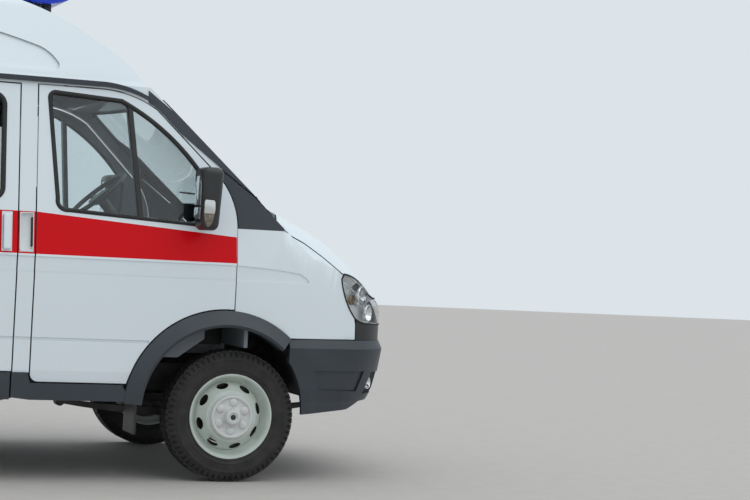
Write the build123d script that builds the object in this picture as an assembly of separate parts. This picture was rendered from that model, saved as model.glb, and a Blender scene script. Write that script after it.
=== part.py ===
"""High-roof panel-van ambulance with twin rear wheels, in millimetres.

Lengths along X are measured forward from the front axle, Y is to the left and Z is up from the ground.
The finished pieces are moved at the end, so that the origin is on the ground at the middle of the length.
"""

from build123d import *
import math
import os

# Main sizes
WHEELBASE = 2900
FRONT_TRACK = 1700
REAR_TRACK = 1530
TWIN_SPACING = 216
TYRE_RADIUS = 342
TYRE_WIDTH = 185
RIM_RADIUS = 220
HALF_WIDTH = 985
ROOF_HALF_WIDTH = 830
BELT_Z = 1127
GUTTER_Z = 2020
BODY_BOTTOM_Z = 410
REAR_X = -4445
BUMPER_TIP_X = 1030
STEP_REAR_X = -4530
ROOF_TOP_Z = 2485

# Wall thicknesses and gaps
WALL = 55
SKIN = 20
PANEL = 28
SHUT_GAP = 7
SEAT_GAP = 0.3
SEAM_DROP = 8
SWAGE_DEPTH = 5
STRIP_HEIGHT = 5

# Running gear
RAIL_Y = 440
RAIL_WIDTH = 70
RAIL_BOTTOM_Z = 440
RAIL_HEIGHT = 140
FLOOR_Z = 640
FLOOR_THICK = 50
COVER_THICK = 4
KINGPIN_Y = 700
HUB_BORE = 28
ARCH_X = -60
ARCH_Z = 368
ARCH_INNER = 440
ARCH_OUTER = 525
REAR_ARCH_INNER = 420
REAR_ARCH_OUTER = 480

# Shut lines of the front door, as seen from the side
DOOR_FRONT_X = -26
DOOR_REAR_X = -1065
DOOR_BOTTOM_Z = 503
DOOR_TOP_Z = 1990
SLIDER_FRONT_X = -1160
SLIDER_REAR_X = -2400

# Places of the fittings
SCREEN_TOP_X = -371
WING_TOP_Z = 1317.7
SCREEN_FOOT_X = 296
SCREEN_FOOT_Z = 1416
BUMPER_TOP_Z = 755
LAMP_INNER_Y = 600
BAR_X = -1005
BAR_Z = 2496
BAR_HALF_LENGTH = 550
FLOODLIGHT_X = -1780
FLOODLIGHT_Z = 2235
ROOF_SINK = 11

# Rear door hinges, each a stack of two barrels outside the body
REAR_HINGE_X = REAR_X - 12
REAR_HINGE_Y = 912
REAR_HINGE_ZS = (620, 1190, 1420)
HINGE_RADIUS = 9
HINGE_HEIGHT = 38

# Towing eyes and cross tubes
TOW_BORE = 16
TOW_EYE_THICK = 22
TOW_EYE_RADIUS = 34
TOW_EYE_REACH = 62
FRONT_TUBE_X = 732
REAR_TUBE_X = -4330

# Springs, with the (x, z) of each eye, and axles
EYE_RADIUS = 24
SPRING_THICK = 44
FRONT_EYES = [(-800, 362), (600, 376)]
REAR_EYES = [(-3520, 452), (-2300, 440)]
PAD_Z = 300
REAR_PAD_Z = 396
PIN_RADIUS = 15
GEARBOX_REAR_X = -820

# Wheels and cabin
RIM_SEAT = 203
RIM_BAND = 7
WHEEL_BOX_Z = 800
PANE_THICK = 6
STEER_TILT = 49
COLUMN_RADIUS = 28
STEER_HUB = (-450, 450, 1480)

ORIGIN_SHIFT = -(BUMPER_TIP_X + STEP_REAR_X) / 2
REAR_AXLE_X = -WHEELBASE
AXLE_Z = TYRE_RADIUS

pieces = {}


def face_of(*steps):
    """A closed flat face. A step (a, b) is a straight side to that point; (ma, mb, a, b) is an arc through ma, mb."""
    here = steps[0][-2:]
    edges = []
    for step in steps[1:]:
        there = step[-2:]
        if len(step) == 2:
            edges.append(Line(here, there))
        else:
            edges.append(ThreePointArc(here, step[:2], there))
        here = there
    first = steps[0][-2:]
    if math.dist(here, first) > 1e-6:
        edges.append(Line(here, first))
    return make_face(edges)


def side_slab(y0, y1, *steps):
    """A side view (x, z) made solid from y0 to y1."""
    return Pos(0, y1, 0) * extrude(Plane.XZ * face_of(*steps), y1 - y0)


def cross_bar(x0, x1, *steps):
    """A cross section (y, z) made solid from x0 to x1."""
    return Pos(x0, 0, 0) * extrude(Plane.YZ * face_of(*steps), x1 - x0)


def plan_plate(z0, z1, *steps):
    """A plan view (x, y) made solid from z0 to z1."""
    return Pos(0, 0, z0) * extrude(face_of(*steps), z1 - z0)


def block(x0, x1, y0, y1, z0, z1):
    """A plain block between two corners."""
    return Pos((x0 + x1) / 2, (y0 + y1) / 2, (z0 + z1) / 2) * Box(abs(x1 - x0), abs(y1 - y0), abs(z1 - z0))


def rod(start, end, radius):
    """A round bar between two points."""
    path = Vector(*end) - Vector(*start)
    return Plane(origin=start, z_dir=path) * extrude(Circle(radius), path.length)


def lathe(*profile):
    """A solid turned about the Y axis, from steps (radius, distance outward)."""
    return revolve(Plane.XY * face_of(*profile), Axis.Y, 360)


def mirrored(solid):
    """The same piece on the left side."""
    return mirror(solid, about=Plane.XZ)


# Body form. Each block is the whole closed body, pulled in by an inset on every outer face.
def nose_section(inset):
    """Crowned section with rounded shoulders, square to the bonnet line: u across, v up from the line."""
    crown_u = 720
    crown_v = -30 - inset
    mid_u = 905 - inset * 0.7
    mid_v = -125 - inset * 0.7
    foot_u = 996 - inset
    foot_v = -401
    return face_of(
        (-foot_u, foot_v),
        (-mid_u, mid_v, -crown_u, crown_v),
        (0, -inset, crown_u, crown_v),
        (mid_u, mid_v, foot_u, foot_v),
    )


def nose_block(inset):
    """Bonnet and nose: a sweep of the crowned section down the centre line, over a plain core."""
    rear = (-270, 1670)
    knee = (360, 1394)
    brow = (845, 1025)
    lip = (952, 774)
    foot = (1000, 400)
    slope = math.atan2(knee[1] - rear[1], knee[0] - rear[0])
    path_edges = [
        Line(rear, knee),
        TangentArc(knee, brow, tangent=(math.cos(slope), math.sin(slope))),
    ]
    path_edges.append(TangentArc(brow, lip, tangent=path_edges[1] % 1))
    path_edges.append(Line(lip, foot))
    path = Plane.XZ * Wire(path_edges)
    start_plane = Plane(origin=path @ 0, x_dir=(0, 1, 0), z_dir=path % 0)
    band = sweep(start_plane * nose_section(inset), path=path, transition=Transition.RIGHT)
    core = side_slab(-1000, 1000, (-600, 300), (-600, 1400), (-400, 1345), (400, 1000), (580, 820), (640, 300))
    return band + core


def screen_block(inset):
    """All that lies behind the windscreen's crowned surface."""
    run = Vector(SCREEN_FOOT_X - SCREEN_TOP_X, 0, SCREEN_FOOT_Z - GUTTER_Z)
    start = Vector(SCREEN_TOP_X, 0, GUTTER_Z) - run * 0.4
    plane = Plane(origin=start, x_dir=(0, 1, 0), z_dir=run)
    section = face_of((-1050, -1700), (-1050, -128 - inset), (0, -inset, 1050, -128 - inset), (1050, -1700))
    wedge = plane * extrude(section, run.length * 1.7)
    return wedge & block(-2500, 520, -1100, 1100, 300, 2200)


def flank_section(inset):
    """Half widths of the body side, from the sill up to the gutter."""
    top = GUTTER_Z - inset
    lean = (HALF_WIDTH - ROOF_HALF_WIDTH) / (GUTTER_Z - BELT_Z)
    rows = [
        (HALF_WIDTH - 20 - inset, BODY_BOTTOM_Z),
        (HALF_WIDTH - inset, 560),
        (HALF_WIDTH - inset, BELT_Z),
        (ROOF_HALF_WIDTH - inset + lean * inset, top),
    ]
    return rows


def body_block(inset):
    """The body up to the gutter, with its tumblehome, narrowing nose and crowned screen."""
    right = flank_section(inset)
    left = [(-y, z) for y, z in reversed(right)]
    tube = cross_bar(REAR_X - 50, 1200, *right, *left)
    plan = plan_plate(
        300, 2100,
        (REAR_X + inset, HALF_WIDTH), (0, HALF_WIDTH - inset),
        (350, 958 - inset, 640, 885 - inset),
        (815 - inset * 0.5, 800 - inset * 0.8, 905 - inset, 640 - inset * 0.5),
        (1100 - inset, 0),
        (905 - inset, -640 + inset * 0.5),
        (815 - inset * 0.5, -800 + inset * 0.8, 640, -885 + inset),
        (350, -958 + inset, 0, -HALF_WIDTH + inset), (REAR_X + inset, -HALF_WIDTH),
    )
    rear = side_slab(
        -1100, 1100,
        (REAR_X + inset, 300), (REAR_X + inset, 1300), (REAR_X + 20 + inset, 2100), (-600, 2100), (-600, 300),
    )
    return tube & plan & (rear + screen_block(inset) + nose_block(inset))


def flank_core(inset):
    """Everything between the two side walls, without an end or a top."""
    lean = (HALF_WIDTH - ROOF_HALF_WIDTH) / (GUTTER_Z - BELT_Z)
    top_y = ROOF_HALF_WIDTH - inset - lean * 200
    right = [
        (HALF_WIDTH - 20 - inset, BODY_BOTTOM_Z - 10),
        (HALF_WIDTH - inset, 560),
        (HALF_WIDTH - inset, BELT_Z),
        (top_y, GUTTER_Z + 200),
    ]
    left = [(-y, z) for y, z in reversed(right)]
    return cross_bar(REAR_X - 100, 1200, *right, *left)


outer = body_block(0)
under_skin = body_block(SKIN)
under_panel = body_block(PANEL)
under_wall = body_block(WALL)
panel_shell = outer - under_panel
skin_shell = outer - under_skin
side_wall = outer - flank_core(WALL)
side_skin = outer - flank_core(SKIN)
side_frame = under_skin - flank_core(WALL)
pane_layer = body_block(4) - body_block(4 + PANE_THICK)
side_pane_layer = body_block(8) - flank_core(8 + PANE_THICK)


# Outlines seen from the side
def arch_z(x, radius):
    """Height of the front wheel arch's circle at x."""
    return ARCH_Z + math.sqrt(radius**2 - (x - ARCH_X) ** 2)


def arch_x(z, radius):
    """Half chord of the front wheel arch's circle at height z."""
    return math.sqrt(radius**2 - (z - ARCH_Z) ** 2)


door_arch = ARCH_OUTER + SHUT_GAP
door_arch_rear_x = ARCH_X - arch_x(DOOR_BOTTOM_Z, door_arch)
door_arch_mid_x = ARCH_X - door_arch * math.cos(math.radians(52))
door_arch_mid_z = ARCH_Z + door_arch * math.sin(math.radians(52))
door_face = face_of(
    (DOOR_FRONT_X, arch_z(DOOR_FRONT_X, door_arch)),
    (DOOR_FRONT_X + 4, 1320),
    (-50, 1465, -125, 1583),
    (-455, 1904),
    (-585, 1965, -760, DOOR_TOP_Z),
    (DOOR_REAR_X, DOOR_TOP_Z),
    (DOOR_REAR_X, DOOR_BOTTOM_Z + 42),
    (DOOR_REAR_X + 12, DOOR_BOTTOM_Z + 12, DOOR_REAR_X + 42, DOOR_BOTTOM_Z),
    (door_arch_rear_x, DOOR_BOTTOM_Z),
    (door_arch_mid_x, door_arch_mid_z, DOOR_FRONT_X, arch_z(DOOR_FRONT_X, door_arch)),
)
door_window_face = face_of(
    (-1010, 1925), (-1001, 1949, -975, 1957), (-640, 1938),
    (-425, 1805, -206, 1575), (-196, 1540), (-212, 1322), (-905, 1363),
    (-950, 1378, -962, 1420),
)
slider_face = face_of(
    (SLIDER_FRONT_X, 552), (SLIDER_FRONT_X, 1985), (SLIDER_REAR_X, 1985), (SLIDER_REAR_X, 552),
)
cabin_window = fillet(face_of((-2310, 1400), (-2310, 1930), (-1235, 1930), (-1235, 1400)).vertices(), 60)


def right_of(face, y1=-600):
    """A side view made solid on the right-hand side of the vehicle."""
    return Pos(0, y1, 0) * extrude(Plane.XZ * face, 1100 + y1)


door_aperture = right_of(offset(door_face, SHUT_GAP, kind=Kind.INTERSECTION))
slider_aperture = right_of(offset(slider_face, SHUT_GAP, kind=Kind.INTERSECTION))
screen_opening = fillet(
    face_of((-880, 1458), (-792, 1968), (792, 1968), (880, 1458)).vertices(), 45
)
screen_prism = Pos(-700, 0, 0) * extrude(Plane.YZ * screen_opening, 1200)
screen_prism_tight = Pos(-700, 0, 0) * extrude(Plane.YZ * offset(screen_opening, -SEAT_GAP), 1200)

# Seen from above: the strip between bonnet and screen, and the bonnet in front of it
scuttle_prism = plan_plate(1200, 1700, (125, -872), (250, 0, 125, 872), (213, 860), (335, 0, 213, -860))
bonnet_plan = plan_plate(900, 1700, (174, -1000), (343, 0, 174, 1000), (1100, 1000), (1100, -1000))
bonnet_gap_plan = plan_plate(900, 1700, (166, -1000), (335, 0, 166, 1000), (1100, 1000), (1100, -1000))
bonnet_seam = [(150, 1364), (198, 1342), (365, 1264), (467, 1198), (590, 1110)]
bonnet_side = side_slab(
    -1000, 1000, *bonnet_seam, (602, 1112), (694, 1083, 769, 1005), (803, 988), (1100, 984), (1100, 1700), (150, 1700),
)
lamp_rear = (586, 1079)
lamp_foot = (681, 873)
lamp_right = right_of(face_of(
    lamp_rear, (600, 1106), (690, 1078, 765, 1000), (800, 982), (1050, 978), (1050, 840), (829, 842),
    (740, 848), (716, 854), lamp_foot, (613, 985, *lamp_rear),
), -LAMP_INNER_Y)

# Pressed lines along the sides: a sunk band under the belt, which ends on the wing, and a groove above the sill
triangle_gap = right_of(face_of((-25, 1300), (-52, 1470, -122, 1585), (-88, 1604), (238, 1375), (238, 1300)), -850)
swage_face = face_of(
    (REAR_X + 60, BELT_Z - 77), (362, BELT_Z - 79), (382, 1052), (386, 1060), (372, 1076), (332, 1099), (200, 1115),
    (0, BELT_Z), (REAR_X + 60, BELT_Z),
)
crease_face = face_of((REAR_X + 60, 711), (-470, 711), (-470, 725), (REAR_X + 60, 725))
pressed = (outer - body_block(SWAGE_DEPTH)) & (right_of(swage_face) + right_of(crease_face))


# Body panels
def fender():
    """Right front wing: from the door to the lamp, over the wheel arch."""
    ring = ARCH_OUTER + SEAT_GAP
    front_x = ARCH_X + arch_x(BUMPER_TOP_Z + 5, ring)
    mid = math.radians(75)
    seam = [(x, z - SEAM_DROP) for x, z in bonnet_seam[2:]]
    side = right_of(face_of(
        (DOOR_FRONT_X + SHUT_GAP, arch_z(DOOR_FRONT_X + SHUT_GAP, ring)),
        (DOOR_FRONT_X + SHUT_GAP, WING_TOP_Z), (233, WING_TOP_Z), *seam, (lamp_rear[0] - 4, lamp_rear[1] + 3),
        (609, 985, lamp_foot[0] - 4, lamp_foot[1] - 2), (684, 838), (686, BUMPER_TOP_Z + 5), (front_x, BUMPER_TOP_Z + 5),
        (ARCH_X + ring * math.cos(mid), ARCH_Z + ring * math.sin(mid),
         DOOR_FRONT_X + SHUT_GAP, arch_z(DOOR_FRONT_X + SHUT_GAP, ring)),
    ), -560)
    return (panel_shell & side) - scuttle_prism - pressed


def bonnet():
    """Bonnet with its sides wrapped over the shoulders down to the wings."""
    return (panel_shell & bonnet_plan & bonnet_side) - triangle_gap - mirrored(triangle_gap)


def grille():
    """Slatted black panel between the lamps, with a filler strip under them."""
    half = LAMP_INNER_Y - SEAT_GAP
    low_z = BUMPER_TOP_Z + SEAT_GAP
    face = panel_shell & block(600, 1100, -half, half, low_z, 978)
    filler = panel_shell & side_slab(
        -900, 900, (690, low_z), (690, 862), (716, 849), (740, 843), (829, 837), (1100, 835), (1100, low_z),
    )
    slat_zs = [800, 842, 884, 926]
    for z in slat_zs:
        face -= block(600, 1100, -520, 520, z, z + 24)
    return face + filler


def headlamp():
    """Right lamp: an almond of clear lens with the housing behind it."""
    return panel_shell & lamp_right


def cowl():
    """Black strip under the screen, with corner triangles by the doors."""
    strip = skin_shell & scuttle_prism
    triangle_face = face_of(
        (-14, 1318), (-44, 1466, -112, 1580), (-88, 1600), (232, 1372), (232, 1318),
    )
    triangle = (side_skin & right_of(triangle_face, -850)) - scuttle_prism
    return strip + triangle + mirrored(triangle)


def screen_frame():
    """Pillars, header and foot of the windscreen."""
    frame = (outer - under_wall) & block(-620, 208, -1000, 1000, 1318, GUTTER_Z)
    for tool in (door_aperture, mirrored(door_aperture), screen_prism, scuttle_prism, bonnet_gap_plan,
                 triangle_gap, mirrored(triangle_gap)):
        frame -= tool
    return frame


def front_door():
    """Right front door: an outer skin, an inner frame set back from its edge, and a window opening."""
    inner_face = offset(door_face, -16, kind=Kind.INTERSECTION)
    door = (side_skin & right_of(door_face)) + (side_frame & right_of(inner_face))
    return door - right_of(door_window_face) - pressed


def door_glass():
    return side_pane_layer & right_of(offset(door_window_face, -SEAT_GAP))


def door_trim():
    """Mirror on its foot, and the bar that divides the window."""
    window = right_of(offset(door_window_face, -SEAT_GAP))
    bar = side_wall & right_of(face_of((-612, 1960), (-588, 1960), (-518, 1320), (-542, 1320))) & window
    foot = block(-205, -95, -1015, -900, 1355, 1445) - outer
    head = Pos(-223, -1085, 1460) * Box(116, 185, 320)
    head = fillet(head.edges(), 30)
    return bar - side_pane_layer + (foot + head)


def side_panel(has_slider):
    """Right body side behind the front door."""
    panel = side_wall & block(REAR_X + 46, -620, -1000, 0, BODY_BOTTOM_Z, GUTTER_Z)
    panel -= block(REAR_X - 50, 0, -1100, 0, 300, 548)
    panel -= door_aperture
    arch = Pos(REAR_AXLE_X, -700, ARCH_Z) * Rot(90, 0, 0) * Cylinder(REAR_ARCH_OUTER + 2, 1000)
    panel -= arch
    window = right_of(cabin_window)
    if has_slider:
        panel -= slider_aperture
    else:
        panel -= window
    recess = (outer - flank_core(22)) & right_of(face_of((-1146, 1154), (-1146, 1337), (-1084, 1337), (-1084, 1154)))
    return panel - recess - pressed


def sliding_door():
    door = (side_skin & right_of(slider_face)) + (side_frame & right_of(offset(slider_face, -14)))
    handle_z = 1240
    lean = math.degrees(math.atan2(HALF_WIDTH - ROOF_HALF_WIDTH, GUTTER_Z - BELT_Z))
    handle_y = HALF_WIDTH - (handle_z - BELT_Z) * math.tan(math.radians(lean))
    handle = Pos(-1212, -handle_y, handle_z) * Rot(-lean, 0, 0) * fillet(Box(40, 50, 180).edges(), 9)
    return door - right_of(cabin_window) - pressed + (handle - under_skin)


rear_opening = face_of((-905, 600), (905, 600), (905, BELT_Z), (764, 1985), (-764, 1985), (-905, BELT_Z))


def rear_frame():
    """Posts, header and threshold around the rear doors."""
    ring = outer & block(REAR_X - 10, REAR_X + 45, -1000, 1000, 548, GUTTER_Z)
    ring -= Pos(REAR_X - 50, 0, 0) * extrude(Plane.YZ * offset(rear_opening, SHUT_GAP, kind=Kind.INTERSECTION), 200)
    for z in REAR_HINGE_ZS:
        for side in (-1, 1):
            ring += Pos(REAR_HINGE_X, side * REAR_HINGE_Y, z + HINGE_HEIGHT / 2) * Cylinder(HINGE_RADIUS, HINGE_HEIGHT)
            ring += block(REAR_HINGE_X, REAR_X + 8, side * (REAR_HINGE_Y + 2), side * (REAR_HINGE_Y + 9), z, z + HINGE_HEIGHT)
    return ring


def rear_door():
    """Right rear door with its window opening and two hinge leaves."""
    face = face_of((-6, 600), (-905, 600), (-905, BELT_Z), (-764, 1985), (-6, 1985))
    door = outer & (Pos(REAR_X - 50, 0, 0) * extrude(Plane.YZ * face, 95))
    window = fillet(face_of((-110, 1420), (-110, 1890), (-690, 1890), (-755, 1420)).vertices(), 45)
    door -= Pos(REAR_X - 50, 0, 0) * extrude(Plane.YZ * window, 200)
    for z in REAR_HINGE_ZS:
        low_z = z + HINGE_HEIGHT + SEAT_GAP
        door += Pos(REAR_HINGE_X, -REAR_HINGE_Y, low_z + HINGE_HEIGHT / 2) * Cylinder(HINGE_RADIUS, HINGE_HEIGHT)
        leaf_top_y = -REAR_HINGE_Y + (60 if z < BELT_Z else 120)
        door_edge_y = -898 if z < BELT_Z else -836
        leaf = block(REAR_HINGE_X - 5, REAR_X + 8, -REAR_HINGE_Y + 1, leaf_top_y, low_z, low_z + HINGE_HEIGHT)
        door += leaf - block(REAR_X - 0.5, REAR_X + 20, -REAR_HINGE_Y - 5, door_edge_y, low_z - 5, low_z + 60)
    return door


def rear_door_glass():
    window = fillet(face_of((-110, 1420), (-110, 1890), (-690, 1890), (-755, 1420)).vertices(), 45)
    prism = Pos(REAR_X - 50, 0, 0) * extrude(Plane.YZ * offset(window, -SEAT_GAP), 200)
    return prism & (body_block(12) - body_block(12 + PANE_THICK))


def roof_block(inset):
    """High roof above the gutter, with its rounded shoulders and sloping front."""
    side = [(828 - inset, 2000), (828 - inset, GUTTER_Z), (812 - inset, 2045), (650 - inset, 2385)]
    tube = cross_bar(
        REAR_X + 15 + inset, 0,
        *side,
        (598 - inset, 2449 - inset, 480, 2474 - inset),
        (0, ROOF_TOP_Z - inset, -480, 2474 - inset),
        (-598 + inset, 2449 - inset, -650 + inset, 2385),
        *[(-y, z) for y, z in reversed(side[:-1])],
    )
    centre_x = -3000
    front = face_of(
        (centre_x, 1900), (centre_x, 2500 - inset), (-1330, 2500 - inset), (-1330, 2487 - inset),
        (-955 - inset * 0.4, 2405 - inset * 0.9, -637 - inset * 0.6, 2243 - inset * 0.8),
        (-485 - inset * 0.8, 2140 - inset * 0.6, -373 - inset, GUTTER_Z), (-373 - inset, 1900),
    )
    turned = revolve(Plane.XZ * front, Axis((centre_x, 0, 0), (0, 0, 1)), 360)
    return tube & (turned + block(REAR_X, centre_x, -1000, 1000, 1900, 2600))


def high_roof():
    """Moulded roof shell with a sunk panel along each side."""
    shell = roof_block(0) - roof_block(32)
    shell &= block(REAR_X, 0, -1000, 1000, GUTTER_Z, 2600)
    sunk = right_of(face_of(
        (-1000, 2070), (-962, 2086, -968, 2124), (-1010, 2168, -1060, 2196), (-1265, 2254, -1480, 2300), (-1700, 2309),
        (-4300, 2309), (-4325, 2300, -4330, 2280), (-4330, 2100), (-4325, 2078, -4300, 2070),
    ), -400)
    skin = (roof_block(-5) - roof_block(ROOF_SINK)) & sunk
    return shell - skin - mirrored(skin)


def gutter():
    band = right_of(face_of(
        (-4420, 2004), (-760, 2004), (-580, 1982, -468, 1934), (-452, 1944), (-575, 2002, -760, 2030), (-4420, 2030),
    ), -780) & block(-4420, 0, -850, -780, 1900, 2100)
    return band - outer - roof_block(0)


def pillar_strip():
    """Moulding along the edge of the windscreen, from the gutter down to the corner triangle."""
    path = right_of(face_of((-500, 1925), (-500, 2004), (-60, 1670), (205, 1450), (205, 1398), (-84, 1606)), -760)
    strip = (body_block(-STRIP_HEIGHT) - outer) & path
    return strip - right_of(offset(door_face, SHUT_GAP + 2, kind=Kind.INTERSECTION))


# Outside trim
def flare(x, inner, outer_radius, first, last):
    """Arched moulding around a right wheel opening, between two angles from straight ahead."""
    base_y = HALF_WIDTH - WALL
    section = face_of(
        (inner, base_y), (inner, HALF_WIDTH + 42), (inner + 14, HALF_WIDTH + 50),
        (outer_radius - 8, HALF_WIDTH + 9), (outer_radius, HALF_WIDTH + 3), (outer_radius, base_y),
    )
    ring = revolve(Plane.XY * section, Axis.Y, last - first)
    ring = Rot(0, -last, 0) * ring
    return Pos(x, 0, ARCH_Z) * mirror(ring, about=Plane.XZ)


def side_trim():
    """Grey mouldings of the right side: arch flares and sills."""
    solids = flare(ARCH_X, ARCH_INNER, ARCH_OUTER, 48, 176)
    solids += flare(REAR_AXLE_X, REAR_ARCH_INNER, REAR_ARCH_OUTER, 6, 174)
    low_z = BODY_BOTTOM_Z + 2
    out_y = -HALF_WIDTH - 5
    in_y = -HALF_WIDTH + WALL + 12 - SEAT_GAP
    sill = side_slab(out_y, in_y, (-560, low_z), (-560, 440), (-598, 496), (-1066, 496), (-1078, 547),
                     (-1157, 547), (-1157, low_z + 10), (-1066, low_z))
    solids += sill - flare_clear(ARCH_X, ARCH_OUTER)
    solids += side_slab(out_y, in_y, (-1165, low_z), (-1165, 547), (SLIDER_REAR_X, 547), (SLIDER_REAR_X, low_z)) \
        - flare_clear(REAR_AXLE_X, REAR_ARCH_OUTER)
    solids += block(REAR_X + 25, REAR_AXLE_X + 700, out_y, in_y, low_z, 547) - flare_clear(REAR_AXLE_X, REAR_ARCH_OUTER) \
        - block(SLIDER_REAR_X - 5, 0, -1100, 0, 0, 600)
    return solids


def flare_clear(x, radius):
    return Pos(x, -900, ARCH_Z) * Rot(90, 0, 0) * Cylinder(radius, 400)


pieces["wing_right"] = fender()
pieces["wing_left"] = mirrored(pieces["wing_right"])
pieces["bonnet"] = bonnet()
pieces["grille"] = grille()
lamp = headlamp()
pieces["headlamps"] = lamp + mirrored(lamp)
pieces["cowl"] = cowl()
pieces["screen_frame"] = screen_frame()
pieces["windscreen"] = (pane_layer & screen_prism_tight)
pieces["door_right"] = front_door()
pieces["door_left"] = mirrored(pieces["door_right"])
pieces["door_glass_right"] = door_glass()
pieces["door_glass_left"] = mirrored(pieces["door_glass_right"])
pieces["door_trim_right"] = door_trim()
pieces["door_trim_left"] = mirrored(pieces["door_trim_right"])
pieces["side_panel_right"] = side_panel(True)
pieces["side_panel_left"] = mirrored(side_panel(False))
pieces["sliding_door"] = sliding_door()
cabin_glass = side_pane_layer & right_of(offset(cabin_window, -SEAT_GAP))
pieces["cabin_glass"] = cabin_glass + mirrored(cabin_glass)
pieces["rear_frame"] = rear_frame()
pieces["rear_door_right"] = rear_door()
pieces["rear_door_left"] = mirrored(pieces["rear_door_right"])
pieces["rear_glass_right"] = rear_door_glass()
pieces["rear_glass_left"] = mirrored(pieces["rear_glass_right"])
pieces["high_roof"] = high_roof()
rail = gutter() + pillar_strip()
pieces["gutters"] = rail + mirrored(rail)
pieces["side_trim_right"] = side_trim()
pieces["side_trim_left"] = mirrored(pieces["side_trim_right"])


# Chassis
def ladder_frame():
    """Two side rails with cross tubes, spring hangers and towing eyes."""
    kick = 60
    rail = side_slab(
        -RAIL_Y - RAIL_WIDTH / 2, -RAIL_Y + RAIL_WIDTH / 2,
        (760, RAIL_BOTTOM_Z), (760, RAIL_BOTTOM_Z + RAIL_HEIGHT), (-2050, RAIL_BOTTOM_Z + RAIL_HEIGHT),
        (-2300, FLOOR_Z), (-4380, FLOOR_Z), (-4380, FLOOR_Z - RAIL_HEIGHT), (-2320, RAIL_BOTTOM_Z + kick),
        (-2070, RAIL_BOTTOM_Z),
    )
    frame = rail + mirrored(rail)
    tube_radius = 26
    cross_tubes = [(FRONT_TUBE_X, 500), (-950, 545), (-1700, 545), (-2450, 575), (-3500, 590), (REAR_TUBE_X, 570)]
    for x, z in cross_tubes:
        frame += rod((x, -RAIL_Y, z), (x, RAIL_Y, z), tube_radius)
    hangers = [(FRONT_EYES[0], RAIL_BOTTOM_Z), (FRONT_EYES[1], RAIL_BOTTOM_Z),
               (REAR_EYES[0], RAIL_BOTTOM_Z + kick), (REAR_EYES[1], RAIL_BOTTOM_Z + kick)]
    for (x, eye_z), top_z in hangers:
        for side in (-1, 1):
            frame += block(x - 28, x + 28, side * (RAIL_Y - 34), side * (RAIL_Y + 34),
                           eye_z + EYE_RADIUS + SEAT_GAP, top_z + 5)
    for tube_x, z, ahead in ((FRONT_TUBE_X, 474, 1), (REAR_TUBE_X, 524, -1)):
        eye_x = tube_x + ahead * TOW_EYE_REACH
        tongue = block(tube_x - ahead * 20, eye_x, -TOW_EYE_RADIUS, TOW_EYE_RADIUS, z, z + TOW_EYE_THICK)
        tongue += Pos(eye_x, 0, z + TOW_EYE_THICK / 2) * Cylinder(TOW_EYE_RADIUS, TOW_EYE_THICK)
        frame += tongue - Pos(eye_x, 0, z) * Cylinder(TOW_BORE, 4 * TOW_EYE_THICK)
    return frame


def leaf_spring(eyes, seat_x, seat_z):
    """Right leaf spring: two arcs between the eyes, thickest at the axle."""
    (rear_x, rear_z), (front_x, front_z) = sorted(eyes)
    leaf = 9
    low = (seat_x, seat_z, front_x, front_z - leaf)
    high = (seat_x, seat_z + SPRING_THICK, rear_x, rear_z + leaf)
    spring = side_slab(
        -RAIL_Y - 32, -RAIL_Y + 32, (rear_x, rear_z - leaf), low, (front_x, front_z + leaf), high,
    )
    for x, z in eyes:
        spring += Pos(x, -RAIL_Y, z) * Rot(90, 0, 0) * Cylinder(EYE_RADIUS, 64)
    return spring


def front_axle():
    """Dropped beam with spring seats and kingpin eyes."""
    web = 34
    beam = cross_bar(
        -web, web, (-680, 300), (-610, 300), (-520, 215), (520, 215), (610, 300), (680, 300),
        (680, 384), (600, 384), (520, PAD_Z - 1.4), (-520, PAD_Z - 1.4), (-600, 384), (-680, 384),
    )
    for side in (-1, 1):
        beam += Pos(0, side * KINGPIN_Y, AXLE_Z) * Cylinder(36, 84)
        beam -= Pos(0, side * KINGPIN_Y, AXLE_Z) * Cylinder(PIN_RADIUS + SEAT_GAP, 200)
    return beam


def knuckle():
    """Right knuckle: forked kingpin carrier, wheel spindle and brake back plate."""
    fork = Pos(0, -KINGPIN_Y, AXLE_Z) * (Cylinder(36, 124) - Cylinder(60, 84 + 4 * SEAT_GAP))
    pin = Pos(0, -KINGPIN_Y, AXLE_Z) * Cylinder(PIN_RADIUS, 130)
    cheek_y = -KINGPIN_Y - 46
    cheek = block(-36, 36, cheek_y - 24, cheek_y, AXLE_Z - 62, AXLE_Z + 62)
    arms = block(-30, 30, cheek_y - 10, -KINGPIN_Y, AXLE_Z + 44, AXLE_Z + 62)
    arms += block(-30, 30, cheek_y - 10, -KINGPIN_Y, AXLE_Z - 62, AXLE_Z - 44)
    spindle = rod((0, cheek_y, AXLE_Z), (0, -FRONT_TRACK / 2 - 96, AXLE_Z), HUB_BORE)
    plate = rod((0, -FRONT_TRACK / 2 + 52, AXLE_Z), (0, -FRONT_TRACK / 2 + 40, AXLE_Z), 150)
    return fork + pin + cheek + arms + spindle + plate


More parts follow.
